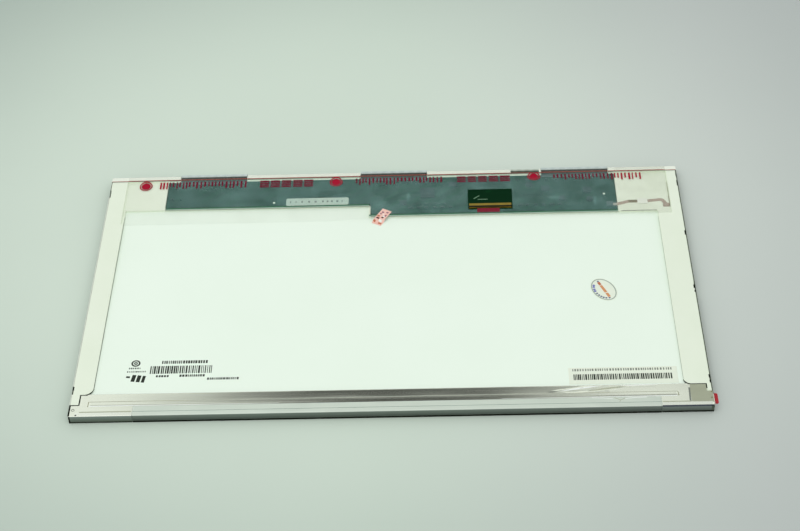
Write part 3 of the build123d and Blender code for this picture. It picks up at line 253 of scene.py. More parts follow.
def lip_tape_cloth(pale_band_from=102.6, pale_band_to=103.4, radian=0.8):
    """Cloth tape on the far lip: a dull dark olive with its weave, and a pale band along its far half.

    One radian of the weave's wave is 0.8 mm, so its ribs lie 5 mm apart, coarser than real ones.
    """
    material, tree, place = surface("olive_cloth_tape")
    weave = add(tree, "ShaderNodeTexWave", {"Vector": place, "Scale": 1 / (WAVE * radian * MM),
                                            "Distortion": 1.0}).outputs["Fac"]
    dark = add(tree, "ShaderNodeMix", {0: weave, 6: tone("#3C3D30"), 7: tone("#4E4F40")}, data_type="RGBA")
    pale_band = add(tree, "ShaderNodeMix", {0: weave, 6: tone("#A9B5A6"), 7: tone("#BAC5B7")}, data_type="RGBA")
    depth = add(tree, "ShaderNodeSeparateXYZ", {0: place}).outputs["Y"]
    far = add(tree, "ShaderNodeMapRange", {0: depth, 1: pale_band_from * MM, 2: pale_band_to * MM})
    colour = add(tree, "ShaderNodeMix", {0: far, 6: dark, 7: pale_band}, data_type="RGBA")
    bump = add(tree, "ShaderNodeBump", {"Height": weave, "Distance": 0.01 * MM})
    coat(tree, {"IOR": 1.5, "Roughness": 0.65, "Base Color": colour, "Normal": bump})
    return material


# Where the cover film's veil changes: beside the board at the right, and over the edges of the stepped board.
VEIL_RIGHT, VEIL_STEP_X, VEIL_STEP_Y = (139.5, 141.5), (-14.2, -13.0), (73.9, 63.8)
BOARD_LEFT_FADE, BOARD_RIGHT_FADE, BOARD_FAR_FADE = (-143.4, -142.0), (140.6, 139.3), (100.6, 99.5)
BOARD_NEAR_FADE = (-0.2, 1.0)


def clear_film(name, near_haze, far_haze, veil, cloud, glints_and_spots=(), cloud_size=11.0):
    """Clear polyester film: mostly see-through, with a cloudy veil, part haze and part painted reflection.

    near_haze is the veil's colour and veil its cover on each face: at the left, at the right and over the
    board, where the colour turns to far_haze. cloud is the share by which clouds thin and thicken the veil.
    The glints and spots are (x, y, half-widths in x and y, more cover), all in mm: pale patches painted as
    glints, and thinner spots where more cover is below zero. Light passes on to what lies under the film,
    so rays towards a lamp see no veil.
    """
    material, tree, place = surface(name)
    x, y, _ = add(tree, "ShaderNodeSeparateXYZ", {0: place}).outputs
    right = add(tree, "ShaderNodeMapRange", {0: x, 1: VEIL_RIGHT[0] * MM, 2: VEIL_RIGHT[1] * MM})
    step = add(tree, "ShaderNodeMapRange", {0: x, 1: VEIL_STEP_X[0] * MM, 2: VEIL_STEP_X[1] * MM,
                                            3: VEIL_STEP_Y[0] * MM, 4: VEIL_STEP_Y[1] * MM})
    inward = add(tree, "ShaderNodeMath", {0: y, 1: step}, operation="SUBTRACT")
    over = 1.0
    for value, fade in ((x, BOARD_LEFT_FADE), (x, BOARD_RIGHT_FADE), (y, BOARD_FAR_FADE),
                        (inward, BOARD_NEAR_FADE)):
        part = add(tree, "ShaderNodeMapRange", {0: value, 1: fade[0] * MM, 2: fade[1] * MM})
        over = add(tree, "ShaderNodeMath", {0: over, 1: part}, operation="MULTIPLY")
    beside = add(tree, "ShaderNodeMapRange", {0: right, 3: veil[0], 4: veil[1]})
    cover = add(tree, "ShaderNodeMix", {0: over, 2: beside, 3: veil[2]})
    clouds = add(tree, "ShaderNodeTexNoise", {"Vector": place, "Scale": 1 / (cloud_size * MM), "Detail": 5.0})
    drift = add(tree, "ShaderNodeMapRange", {0: clouds, 1: 0.25, 2: 0.75, 3: 1 - cloud, 4: 1 + cloud})
    cover = add(tree, "ShaderNodeMath", {0: cover, 1: drift}, operation="MULTIPLY")
    for middle_x, middle_y, wide, deep, more in glints_and_spots:
        middle, share = (middle_x * MM, middle_y * MM, 0), (1 / (wide * MM), 1 / (deep * MM), 0)
        away = add(tree, "ShaderNodeVectorMath", {0: place, 1: middle}, operation="SUBTRACT")
        scaled = add(tree, "ShaderNodeVectorMath", {0: away, 1: share}, operation="MULTIPLY")
        far = add(tree, "ShaderNodeVectorMath", {0: scaled}, operation="LENGTH")
        spot_cover = add(tree, "ShaderNodeMapRange", {0: far, 1: 1.0, 2: 0.0, 3: 0.0, 4: more},
                    interpolation_type="SMOOTHSTEP")
        cover = add(tree, "ShaderNodeMath", {0: cover, 1: spot_cover}, operation="ADD")
    haze = add(tree, "ShaderNodeMix", {0: over, 6: tone(near_haze), 7: tone(far_haze)}, data_type="RGBA")
    lit = add(tree, "ShaderNodeLightPath").outputs["Is Shadow Ray"]
    seen = add(tree, "ShaderNodeMath", {0: 1.0, 1: lit}, operation="SUBTRACT")
    alpha = add(tree, "ShaderNodeMath", {0: cover, 1: seen}, operation="MULTIPLY")
    coat(tree, {"IOR": 1.5, "Roughness": 0.16, "Base Color": haze, "Alpha": alpha})
    return material


board_green = solder_mask()
copper_film = driver_film()
olive_tape = lip_tape_cloth()
# Painted glints on the cover film, and a few thinner spots where more cover is below zero.
cover_glints_and_spots = [
    (10.0, 80.0, 1.6, 7.0, 0.06), (126.3, 71.8, 2.0, 7.0, 0.06), (100.4, 76.0, 6.0, 2.2, 0.045),
    (24.0, 85.0, 15.0, 9.0, 0.02), (-132.0, 86.0, 8.0, 5.0, 0.025), (-8.0, 73.5, 7.0, 6.0, 0.03),
    (16.3, 74.4, 4.0, 5.0, -0.03), (38.6, 83.4, 6.0, 7.0, -0.02), (4.0, 72.0, 14.0, 6.0, 0.02),
]
cover_film = clear_film("clear_polyester_film", "#A8AA92", "#AFE3DD", (0.032, 0.07, 0.09), 0.38, cover_glints_and_spots)
front_film = clear_film("protective_polyethylene_film", "#C4D2D8", "#CAD6DA", (0.1, 0.1, 0.1), 0.04)

finishes = {
    "front_protective_film": front_film, "pull_tab": red_tab, "front_bezel": tinplate,
    "front_polariser": polariser, "rear_polariser": polariser, "colour_filter_glass": glass,
    "array_glass": glass, "gate_driver_chips": epoxy, "source_driver_chips": epoxy, "rim_tape": black_tape,
    "lip_tape": olive_tape, "source_driver_film_left": copper_film, "source_driver_film_centre": copper_film,
    "source_driver_film_right": copper_film, "upper_diffuser": diffuser, "upper_prism_sheet": diffuser,
    "lower_prism_sheet": diffuser, "lower_diffuser": diffuser, "light_guide": acrylic,
    "reflector_sheet": polyester, "mould_frame": polycarbonate, "screw_inserts": brass, "led_flex": flex,
    "leds": lamp, "light_bar_cover": bright_sheet, "edge_foil_tape": foil, "corner_foil": dull_foil,
    "control_board": board_green, "timing_controller": epoxy, "memory_chip": epoxy, "power_chips": epoxy,
    "inductors": epoxy, "ceramic_capacitors": ceramic, "chip_resistors": epoxy, "led_connector": nylon,
    "signal_connector_housing": amber_moulding, "signal_connector_contacts": gold,
    "signal_connector_shell": dark_plate, "board_cover_film": cover_film, "flex_stiffener": amber,
    "flex_tape": white_tape, "board_label": thermal_paper, "connector_label": red_paper,
    "barcode_label": paper, "inspection_sticker": paper, "seal_sticker": seal_paper,
}
for node, finish in finishes.items():
    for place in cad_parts[node].material_slots:
        place.material = finish


# Shapes

def rise(value, start, stop):
    """Goes from 0 to 1, with level ends, as a value goes from start to stop."""
    share = np.clip((value - start) / (stop - start), 0, 1)
    return share * share * (3 - 2 * share)


def sheet_piece(name, points, finish, thick, wrap=False, keep=None, stands_for=(), soft=True):
    """Skins a (patch, row, column, xyz) array of points with quads and thickens it away from its upper side.

    Rows run to far and columns to the right, so the quads face up. wrap joins the last column to the first,
    and keep drops the quads where it is False.
    """
    points = np.asarray(points, float)
    count, rows, columns, _ = points.shape
    index = np.arange(count * rows * columns).reshape(count, rows, columns)
    if wrap:
        index = np.concatenate([index, index[:, :, :1]], axis=2)
    quads = np.stack([index[:, :-1, :-1], index[:, :-1, 1:], index[:, 1:, 1:], index[:, 1:, :-1]], axis=-1)
    quads = quads.reshape(-1, 4) if keep is None else quads[:, keep].reshape(-1, 4)
    used, quads = np.unique(quads, return_inverse=True)
    mesh = bpy.data.meshes.new(name)
    mesh.from_pydata((points.reshape(-1, 3)[used] * MM).tolist(), [], quads.reshape(-1, 4).tolist())
    mesh.polygons.foreach_set("use_smooth", np.full(len(mesh.polygons), soft))
    mesh.materials.append(finish)
    piece = bpy.data.objects.new(name, mesh)
    bpy.context.scene.collection.objects.link(piece)
    wall = piece.modifiers.new("thickness", "SOLIDIFY")
    wall.thickness = thick * MM
    wall.offset = -1
    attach(piece, "root")
    if stands_for:
        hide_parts(*stands_for)


def lines_at(start, stop, step, *marks):
    """Grid lines about a step apart from start to stop, with a line at each mark."""
    stops = np.unique([start, stop, *marks])
    return np.unique(np.concatenate([np.linspace(low, high, max(2, int(round((high - low) / step)) + 1))
                                     for low, high in zip(stops[:-1], stops[1:])]))


def middles(lines):
    """Middles of the spaces between grid lines."""
    return (lines[:-1] + lines[1:]) / 2


def laid(lines_x, lines_y, top):
    """One patch of points where grid lines cross, at the height that top gives there."""
    x, y = np.meshgrid(lines_x, lines_y)
    return np.stack([x, y, top(x, y)], -1)[None]


def flat(z):
    """A level carrier."""
    return lambda x, y: z + 0 * x


def raised(carrier, height):
    """A carrier that lies a height above another."""
    return lambda x, y: carrier(x, y) + height


REFLECTOR_NEAR, REFLECTOR_DEPTH, REFLECTOR_TOP, REFLECTOR_FALL = -99.15, 196.34, 4.53, 1.7


def reflector_rear(x, y):
    """Rear face of the reflector: a plane that falls from its near to its far edge."""
    return REFLECTOR_TOP - REFLECTOR_FALL * (y - REFLECTOR_NEAR) / REFLECTOR_DEPTH + 0 * x


# Cover film

FILM_X, FILM_Y = (-168.9, 172.7), (59.75, 104.45)
FILM_FLAT, FILM_LIP, FILM_THICK = 4.566, 5.5, 0.08
RAMP = (98.55, 100.55)
WINDOW_X, WINDOW_Y = (47.2, 74.9), (66.4, 85.5)
BLISTER_X, BLISTER_Y = (1.95, 139.3), (65.0, 97.5)
BLISTER_HEIGHT, BLISTER_SIDE = 0.85, 2.5
SAG, SAG_X, SAG_Y = 1.1, (-20, -45), (73.1, FILM_Y[0])
RIPPLE = 0.045
RIPPLE_X, RIPPLE_Y = (6.1, 1.3, 9.7), (5.2, 1.7, 7.3)     # mm to a radian, bend of phase, mm to its radian


def film_top(x, y):
    """Upper face of the cover film.

    A flat sheet with a straight ramp up to the far lip, a flat-topped blister with sloping sides, a sag at
    the left of the near edge, and ripples: two crossed waves, each with its phase bent by the other axis.
    """
    ramp = np.clip((y - RAMP[0]) / (RAMP[1] - RAMP[0]), 0, 1)
    inside = np.minimum(np.minimum(x - BLISTER_X[0], BLISTER_X[1] - x),
                        np.minimum(y - BLISTER_Y[0], BLISTER_Y[1] - y))
    blister = BLISTER_HEIGHT * np.clip(inside / BLISTER_SIDE, 0, 1)
    sag = SAG * rise(y, *SAG_Y) * rise(x, *SAG_X)
    along = np.sin(x / RIPPLE_X[0] + RIPPLE_Y[1] * np.sin(y / RIPPLE_Y[2]))
    across = np.cos(y / RIPPLE_Y[0] + RIPPLE_X[1] * np.sin(x / RIPPLE_X[2]))
    ripple = RIPPLE * (1 + along * across) * (1 - ramp)
    return FILM_FLAT + (FILM_LIP - FILM_FLAT) * ramp + blister - sag + ripple


film_x = lines_at(*FILM_X, 1.0, *WINDOW_X, *BLISTER_X)
film_y = lines_at(*FILM_Y, 0.9, *WINDOW_Y, *BLISTER_Y, *RAMP)
mid_x, mid_y = middles(film_x), middles(film_y)
in_window = np.outer((mid_y > WINDOW_Y[0]) & (mid_y < WINDOW_Y[1]),
                     (mid_x > WINDOW_X[0]) & (mid_x < WINDOW_X[1]))
sheet_piece("rippled_cover_film", laid(film_x, film_y, film_top), cover_film, FILM_THICK,
            keep=~in_window, stands_for=["board_cover_film"])


# Metal over the lamps

COVER_X, COVER_Y = (-179.3, 179.3), (-104.4, -87.8)
COVER_Z, COVER_THICK, CURL = 5.1, 0.3, 0.085
WAVINESS, WAVE_X, WAVE_Y = 0.012, 8.3, 2.1                # height, and mm to a radian
WAVE_FADE, CREASE_FADE = (-97.5, -94.5), (-98.2, -97.0)
LEFT_NOTCH, RIGHT_NOTCH = (-173.95, -96.3), (176.1, -93.7)
LEFT_STEP, RIGHT_STEP = (-170.1, -88.45), (166.0, -88.45)
RIB_X, RIB_Y = (-169.1, 160.2), (-97.1, -93.5)
RIB_HEIGHT, RIB_ROLL, RIB_STEP, RIB_END = 0.22, 1.6, 0.25, 0.7
# Creases towards the right end, as (start, end, half-width, height).
CREASES = (((88, -92.6), (111, -89.2), 0.8, 0.08), ((104, -90.2), (119, -87.5), 0.7, 0.08),
           ((96, -92.8), (116, -91.4), 0.6, -0.1), ((112, -92.2), (131, -88.7), 0.6, -0.05),
           ((124, -89.6), (150, -88.8), 0.6, 0.06), ((120, -92.9), (133, -90.4), 0.5, 0.04))


def fold(x, y, start, end, width, height):
    """A crease along a line: a rounded ridge across it, fading over a quarter of its length at both ends."""
    (x0, y0), (x1, y1) = start, end
    length = np.hypot(x1 - x0, y1 - y0)
    along = ((x - x0) * (x1 - x0) + (y - y0) * (y1 - y0)) / length ** 2
    across = ((y - y0) * (x1 - x0) - (x - x0) * (y1 - y0)) / length
    return height * np.exp(-(across / width) ** 2) * rise(along, 0, 0.25) * rise(along, 1, 0.75)


def cover_top(x, y):
    """Rear face of the lamp cover: flat, curled up towards its far edge, with a long pressed rib.

    The rib has a sharp step on its far side and rolls off on its near side. Low waves and the creases, which
    add up where they cross, fade out before the foil.
    """
    curl = CURL * np.clip((y - RIB_Y[1]) / (COVER_Y[1] - RIB_Y[1]), 0, 1) ** 2
    ends = rise(np.minimum(x - RIB_X[0], RIB_X[1] - x), 0, RIB_END)
    rib = RIB_HEIGHT * ends * np.minimum(rise(y - RIB_Y[0], 0, RIB_ROLL), rise(RIB_Y[1] - y, 0, RIB_STEP))
    wave = WAVINESS * np.sin(x / WAVE_X + np.sin(y / WAVE_Y)) * rise(y, *WAVE_FADE)
    creases = sum(fold(x, y, *crease) for crease in CREASES) * rise(y, *CREASE_FADE)
    return COVER_Z + curl + rib + wave + creases


cover_x = lines_at(*COVER_X, 1.0, LEFT_NOTCH[0], RIGHT_NOTCH[0], LEFT_STEP[0], RIGHT_STEP[0],
                   RIB_X[0], RIB_X[0] + RIB_END / 2, RIB_X[0] + RIB_END,
                   RIB_X[1] - RIB_END, RIB_X[1] - RIB_END / 2, RIB_X[1])
cover_y = lines_at(*COVER_Y, 0.3, LEFT_NOTCH[1], RIGHT_NOTCH[1], LEFT_STEP[1], RIB_Y[0],
                   RIB_Y[0] + RIB_ROLL, RIB_Y[1] - RIB_STEP, RIB_Y[1] - RIB_STEP / 2, RIB_Y[1])
mid_x, mid_y = middles(cover_x), middles(cover_y)
notched = (np.outer(mid_y > LEFT_NOTCH[1], mid_x < LEFT_NOTCH[0])
           | np.outer(mid_y > LEFT_STEP[1], mid_x < LEFT_STEP[0])
           | np.outer(mid_y > RIGHT_NOTCH[1], mid_x > RIGHT_NOTCH[0])
           | np.outer(mid_y > RIGHT_STEP[1], mid_x > RIGHT_STEP[0]))
sheet_piece("creased_lamp_cover", laid(cover_x, cover_y, cover_top), bright_sheet, COVER_THICK,
            keep=~notched, stands_for=["light_bar_cover"])

# Foil: up the near wall, round its top edge, along the lip, down a step and along the cover.
FOIL_X, FOIL_Y, FOIL_THICK, FOIL_BEND = (-143.8, 150.5), (-104.85, -97.35), 0.1, 0.5
FOIL_WALL_Z, FOIL_LIP_Y, FOIL_TURN_Y = (1.0, 2.2, 3.4, 4.6), (-104.2, -102.0), (-104.4, -104.0)
STEP_Y, STEP_Z = (-102.0, -101.75, -101.5), (5.5, 5.33, 5.2)
CRINKLE, CRINKLE_LONG, CRINKLE_SHORT = 0.02, 9.1, 3.7     # height, and mm to a radian
bend = np.linspace(0, np.pi / 2, 6)
foil_y = np.concatenate([np.full(4, FOIL_Y[0]), FOIL_Y[0] + FOIL_BEND - FOIL_BEND * np.cos(bend),
                         np.linspace(*FOIL_LIP_Y, 6), STEP_Y[1:2], np.linspace(STEP_Y[2], FOIL_Y[1], 9)])
foil_z = np.concatenate([FOIL_WALL_Z, STEP_Z[0] - FOIL_BEND + FOIL_BEND * np.sin(bend),
                         np.full(6, STEP_Z[0]), STEP_Z[1:2], np.full(9, STEP_Z[2])])
foil_x = lines_at(*FOIL_X, 1.0)
crinkle = CRINKLE * (1 + np.sin(foil_x / CRINKLE_LONG) * np.sin(foil_x / CRINKLE_SHORT))
on_top = rise(foil_y, *FOIL_TURN_Y)[:, None]
foil_points = np.stack([np.broadcast_to(foil_x, (len(foil_y), len(foil_x))),
                        foil_y[:, None] - (1 - on_top) * crinkle, foil_z[:, None] + on_top * crinkle], -1)
sheet_piece("wrapped_edge_foil", foil_points[None], foil, FOIL_THICK, stands_for=["edge_foil_tape"])


# Painted shade and highlight strips along gaps, walls and creases

# Heights that strips and print lie at, on the CAD faces.
LIP_TOP, PATCH_TOP, BOARD_TOP, BOARD_UNDER = 5.4, 5.2, 4.166, 3.466
WALL_LINE_TOP, PATCH_EDGE_TOP, GAP_SHADE_TOP, BOARD_EDGE_TOP = 5.14, 5.13, 5.03, 4.2
on_cover = raised(cover_top, 2 * INK)


def on_foil(x, y):
    """Just above the foil: level on the lip, down a step, and level on the cover."""
    return np.interp(y, STEP_Y, STEP_Z) + 2 * STRIP + 0 * x


def ribbon(name, path, width, carrier, finish):
    """A flat strip carried along a path: its two edges lie half its width to either side of the path."""
    path = np.asarray(path, float)
    step = np.gradient(path, axis=0)
    step /= np.linalg.norm(step, axis=1)[:, None]
    off = np.stack([-step[:, 1], step[:, 0]], -1) * np.broadcast_to(width, len(path))[:, None] / 2
    edges = np.stack([path - off, path + off])
    points = np.concatenate([edges, carrier(edges[..., 0], edges[..., 1])[..., None]], -1)
    sheet_piece(name, points[None], finish, STRIP, soft=False)


def arc(x, y, radius, start, stop):
    """Points on an arc, from one angle to another in degrees."""
    angle = np.radians(np.linspace(start, stop, 14))
    return np.stack([x + radius * np.cos(angle), y + radius * np.sin(angle)], -1)


def run(*stops, step=0.35):
    """Points about a step apart along straight lines from stop to stop."""
    stops = np.asarray(stops, float)
    legs = [np.linspace(start, end, max(2, int(np.hypot(*(end - start)) / step)), endpoint=False)
            for start, end in zip(stops[:-1], stops[1:])]
    return np.concatenate(legs + [stops[-1:]])


# Painted shadow: dark strips in the gaps between the near ends of the frame's side strips and the lamp cover.
left_gap = np.concatenate([arc(-172.7, -82.75, 5.35, -5, -88),
                           run((-173.0, -88.1), (-174.3, -88.1), (-174.3, -95.95), (-179.25, -95.95))])
right_gap = np.concatenate([arc(168.4, -83.75, 4.35, 185, 268),
                            run((168.7, -88.1), (176.45, -88.1), (176.45, -91.5))])
for side, path in (("left", left_gap), ("right", right_gap)):
    width = 0.25 + 0.5 * rise(np.linspace(0, 1, len(path)), 0, 1 / 7)
    ribbon(side + "_gap_shade_fill", path, width, flat(GAP_SHADE_TOP), shade_fill)
# Painted shade along the inner edges of the frame's side strips, where they step down to the reflector.
for side, x, far, finish in (("left", -167.6, 68.0, grey_shade_fill), ("right", 164.3, 58.0, pale_shade_fill)):
    path = run((x, far), (x, -83.0))
    ribbon(side + "_strip_edge_shade_fill", path, np.linspace(0.16, 0.34, len(path)), raised(reflector_rear, 0.25),
           finish)
# Painted shade along the walls: in the gap between frame and bezel, and as dark fillings of the side notches.
for name, x, y0, y1, width, finish in (
        ("right_wall_gap_shade", 179.3, -96.0, 104.0, 0.6, grey_shade_fill),
        ("left_far_wall_gap_shade", -179.32, 91.0, 104.0, 0.4, grey_shade_fill),
        ("left_far_notch_shade_fill", -179.05, 86.0, 91.5, 0.7, grey_shade_fill),
        ("left_near_notch_shade_fill", -179.05, -84.3, -81.4, 0.9, shade_fill),
        ("left_near_notch_end_shade", -179.05, -87.3, -86.2, 0.6, shade_fill),
        ("left_corner_gap_shade", -179.2, -104.2, -95.7, 0.9, shade_fill),
        ("right_far_notch_shade_fill", 178.95, 85.4, 90.8, 0.6, grey_shade_fill),
        ("right_wall_shade_mark", 178.95, 38.4, 42.4, 0.9, shade_fill),
        ("right_mid_notch_shade_fill", 178.9, -9.6, -6.6, 0.9, shade_fill),
        ("right_mid_notch_end_shade", 179.0, -12.9, -11.2, 0.8, shade_fill),
        ("right_near_notch_shade_fill", 178.95, -83.4, -80.9, 0.9, shade_fill),
        ("right_near_notch_end_shade", 179.0, -87.3, -85.2, 0.8, shade_fill)):
    ribbon(name, run((x, y0), (x, y1)), width, flat(WALL_LINE_TOP), finish)
# Painted shade along the left edge of the corner foil patch.
ribbon("corner_patch_edge_shade", run((166.35, -101.6), (166.75, -88.6)), 1.0, flat(PATCH_EDGE_TOP), ink["grey"])
at_board_edge = flat(BOARD_EDGE_TOP)
# Painted light over the shadowed gap in front of the board's near edge, and a lighter green rim on the edge.
for name, x0, x1, y, rim_y in (("narrow", -142.7, -14.6, 73.25, 74.15), ("wide", -14.6, 139.9, 63.15, 64.05)):
    ribbon("board_%s_gap_painted_light" % name, run((x0, y), (x1, y)), 0.7, at_board_edge, ink["pale_painted_light"])
    ribbon("board_%s_rim" % name, run((x0, rim_y), (x1, rim_y)), 1.1, at_board_edge, ink["rim"])
ribbon("band_edge_shade", run((142.0, 63.3), (164.0, 63.3)), 0.6, at_board_edge, ink["grey"])

# Painted shade and highlight lines on the lamp cover and foil: along the rib, on creases, under the lip.
RIB_SHADE_Y, RIB_HIGHLIGHT_Y, LIP_SHADE_Y, STEP_SHADE_Y = -93.6, -96.85, -101.3, -101.55
# Painted shade along the rib's far step and its two ends.
for name, key, stops in (
        ("left", "press", [(-169.2, -97.2), (-169.0, RIB_SHADE_Y), (-112, RIB_SHADE_Y)]),
        ("left_dull", "dull", [(-112, RIB_SHADE_Y), (-72, RIB_SHADE_Y)]),
        ("middle", "dark", [(-72, RIB_SHADE_Y), (62, RIB_SHADE_Y)]),
        ("right_dull", "dull", [(62, RIB_SHADE_Y), (100, RIB_SHADE_Y)]),
        ("right", "press", [(100, RIB_SHADE_Y), (160.1, RIB_SHADE_Y), (160.4, -96.6)])):
    ribbon("rib_shade_line_" + name, run(*stops), 0.42, on_cover, ink[key])
# Painted highlight along the rib's near edge, fading towards the middle.
for side, x0, x1, wide in (("left", -168.6, -62.0, (0.6, 0.12)), ("right", 62.0, 159.6, (0.12, 0.6))):
    path = run((x0, RIB_HIGHLIGHT_Y), (x1, RIB_HIGHLIGHT_Y))
    ribbon("rib_edge_highlight_" + side, path, np.linspace(*wide, len(path)), on_cover, ink["white"])
# Painted shade and painted highlights along the creases in the lamp cover.
for name, key, wide, stops in (
        ("dark", "faint", 1.0, [(110.0, -92.3), (119.0, -90.7), (132.0, -89.0)]),
        ("pale", "white", 1.1, [(94.8, -92.0), (108.8, -89.6), (118.0, -88.3)]),
        ("end", "white", 0.7, [(128.0, -88.5), (140.0, -88.3), (150.0, -88.4)])):
    path = run(*stops)
    width = 0.06 + wide * np.sin(np.linspace(0, np.pi, len(path)))
    ribbon("cover_crease_painted_" + name, path, width, on_cover, ink[key])
for side, x0, x1 in (("left", -173.4, -144.2), ("right", 151.0, 166.4)):
    path = run((x0, LIP_SHADE_Y), (x1, LIP_SHADE_Y))
    ribbon("near_lip_shade_" + side, path, 0.7, on_cover, ink["faint"])
path = run((FOIL_X[0] + 0.2, STEP_SHADE_Y), (FOIL_X[1] - 0.2, STEP_SHADE_Y))
ribbon("lip_step_shade", path, 0.45, on_foil, ink["sage"])
# Painted highlights along the foil's creases, and painted shade round its dent.
for name, key, width, stops in (
        ("foil_crease_highlight_left", "white", 0.45, [(112.0, -97.6), (118.0, -97.9), (123.6, -98.5)]),
        ("foil_crease_highlight_right", "white", 0.55, [(130.2, -98.7), (135.0, -98.1), (142.4, -97.7)]),
        ("foil_dent_shade_left", "faint", 0.3, [(124.6, -97.8), (127.8, -99.6)]),
        ("foil_dent_shade_right", "faint", 0.3, [(127.9, -99.6), (130.6, -98.3)]),
        ("foil_dent_shade_tail", "faint", 0.25, [(127.8, -99.7), (127.4, -101.0)])):
    ribbon(name, run(*stops), width, on_foil, ink[key])


def wall_strip(name, x0, x1, heights, finish, out=-104.79, bend=0.0, radius=0.45, thick=0.04):
    """An upright strip on the near wall: a grid over length and height, bent in over the wall's rounded top.

    bend is how far round the top's rounding the strip goes, in radians.
    """
    turn = np.linspace(0, bend, 5)[1:] if bend else np.zeros(0)
    z = np.concatenate([np.linspace(*heights, 4), heights[1] + radius * np.sin(turn)])
    y = np.concatenate([np.full(4, out), out + radius * (1 - np.cos(turn))])
    x = lines_at(x0, x1, 2.0)
    points = np.stack(np.broadcast_arrays(x, y[:, None], z[:, None]), -1)
    sheet_piece(name, points[None], finish, thick, soft=False)


# Painted shade on the near wall: dark bands at its foot, a dark top line at its right end, and its corners.
wall_strip("foot_shade_under_foil", -143.6, 150.3, (0.1, 1.3), shade_fill, out=-104.92)
wall_strip("left_foot_shade", -179.2, -144.0, (0.05, 0.75), shade_fill)
wall_strip("right_foot_shade", 150.7, 179.2, (0.1, 1.2), shade_fill)
wall_strip("right_top_shade", 150.7, 179.0, (4.5, 5.0), slate_shade_fill, bend=1.4)
wall_strip("left_corner_shade", -179.3, -178.5, (0.2, 4.9), shade_fill)
wall_strip("right_corner_shade", 177.7, 179.2, (1.2, 4.9), grey_shade_fill)


# Printing

def printed(name, x, y, carrier, finish, slot, wrap=False):
    """Lays (patch, row, column) arrays of places on the carrier's height as one printed mark."""
    sheet_piece(name, np.stack([x, y, carrier(x, y) + INK], -1), finish, STRIP, wrap=wrap, soft=False)


def turned(x, y, degrees, about):
    """Places given from a point, turned anticlockwise about it."""
    cosine, sine = np.cos(np.radians(degrees)), np.sin(np.radians(degrees))
    return about[0] + cosine * x - sine * y, about[1] + sine * x + cosine * y


def bars(name, rows, carrier, finish, slot, turn=0.0, about=(0, 0), cells=(1, 1)):
    """Printed bars: rectangles (x0, x1, y0, y1), turned about a point."""
    rows = np.asarray(rows, float)[:, :, None, None]
    u, v = np.meshgrid(np.linspace(0, 1, cells[0] + 1), np.linspace(0, 1, cells[1] + 1))
    x = rows[:, 0] * (1 - u) + rows[:, 1] * u - about[0]
    y = rows[:, 2] * (1 - v) + rows[:, 3] * v - about[1]
    printed(name, *turned(x, y, turn, about), carrier, finish, slot)


def rings(name, rows, carrier, finish, slot, turn=0.0):
    """Printed rings: for each (x, y, semi-axes in x and y, width), the band of an ellipse, closed round."""
    rows = np.asarray(rows, float)[:, :, None, None]
    angle, v = np.meshgrid(np.linspace(0, 2 * np.pi, 48, endpoint=False), [0.0, 0.5, 1.0])
    x, y = (rows[:, 2] - rows[:, 4] * v) * np.sin(angle), (rows[:, 3] - rows[:, 4] * v) * np.cos(angle)
    x, y = turned(x, y, turn, (rows[:, 0], rows[:, 1]))
    printed(name, x[:, ::-1, ::-1], y[:, ::-1, ::-1], carrier, finish, slot, wrap=True)


def discs(name, rows, carrier, finish, slot):
    """Printed discs: a square grid bent to a round one by x = u sqrt(1 - v^2/2), y = v sqrt(1 - u^2/2)."""
    rows = np.asarray(rows, float)[:, :, None, None]
    u, v = np.meshgrid(np.linspace(-1, 1, 11), np.linspace(-1, 1, 11))
    x = rows[:, 0] + rows[:, 2] * u * np.sqrt(1 - v * v / 2)
    y = rows[:, 1] + rows[:, 2] * v * np.sqrt(1 - u * u / 2)
    printed(name, x, y, carrier, finish, slot)


def dashes(x0, x1, y0, y1, wide=(0.5, 1.3), gap=(0.3, 0.6)):
    """A row of bars of chance widths and gaps, from x0 until the row is full."""
    count = int((x1 - x0) / (wide[0] + gap[0])) + 1
    widths, gaps = rng.uniform(*wide, count), rng.uniform(*gap, count)
    left = x0 + np.concatenate([[0], np.cumsum(widths + gaps)[:-1]])
    fits = left + widths <= x1
    return np.stack([left, left + widths, np.full(count, y0), np.full(count, y1)], -1)[fits]


# Film print: rows of upright bars, blocks of level stripes, ringed dots and one long line.
BOARD_X = (-142.5, 139.7)
BAR_Y, BAR_SHORTER, LINE_Y, LINE_INSET = (93.4, 99.4), 1.8, (100.75, 101.3), 0.4
STRIPE_Y, STRIPE_WIDE, STRIPE_STEP, STRIPE_COUNT = 93.0, 1.2, 1.7, 4
DOT_RADIUS, RING_RADIUS, RING_WIDE = 2.9, 4.1, 0.7
upright = np.concatenate([dashes(x0, x1, *BAR_Y, (0.7, 1.2), (0.8, 1.6))
                          for x0, x1 in [(-148.3, -92.3), (-23.4, 32.3), (101.8, 157.6)]])
upright[:, 2] += rng.choice([0.0, BAR_SHORTER], len(upright))
stripes = np.concatenate([dashes(x0, x1, 0, 1, (4.8, 6.4), (1.0, 1.4))
                          for x0, x1 in [(-84.5, -47.5), (40.8, 77.5)]])
stripe_y = STRIPE_Y + STRIPE_STEP * np.tile(np.arange(STRIPE_COUNT), len(stripes))
stripes = np.repeat(stripes, STRIPE_COUNT, axis=0)
stripes[:, 2:] = np.stack([stripe_y, stripe_y + STRIPE_WIDE], -1)
on_board = (upright[:, 0] > BOARD_X[0]) & (upright[:, 1] < BOARD_X[1])
bars("film_print_upright_bars", upright[~on_board], film_top, ink["red"], "red_label", cells=(1, 8))
bars("film_print_deep_bars", upright[on_board], film_top, ink["deep"], "red_label", cells=(1, 8))
bars("film_print_level_stripes", stripes, film_top, ink["deep"], "red_label", cells=(6, 2))
spots = [(-157.2, 96.3), (-36.0, 96.6), (89.4, 97.4)]
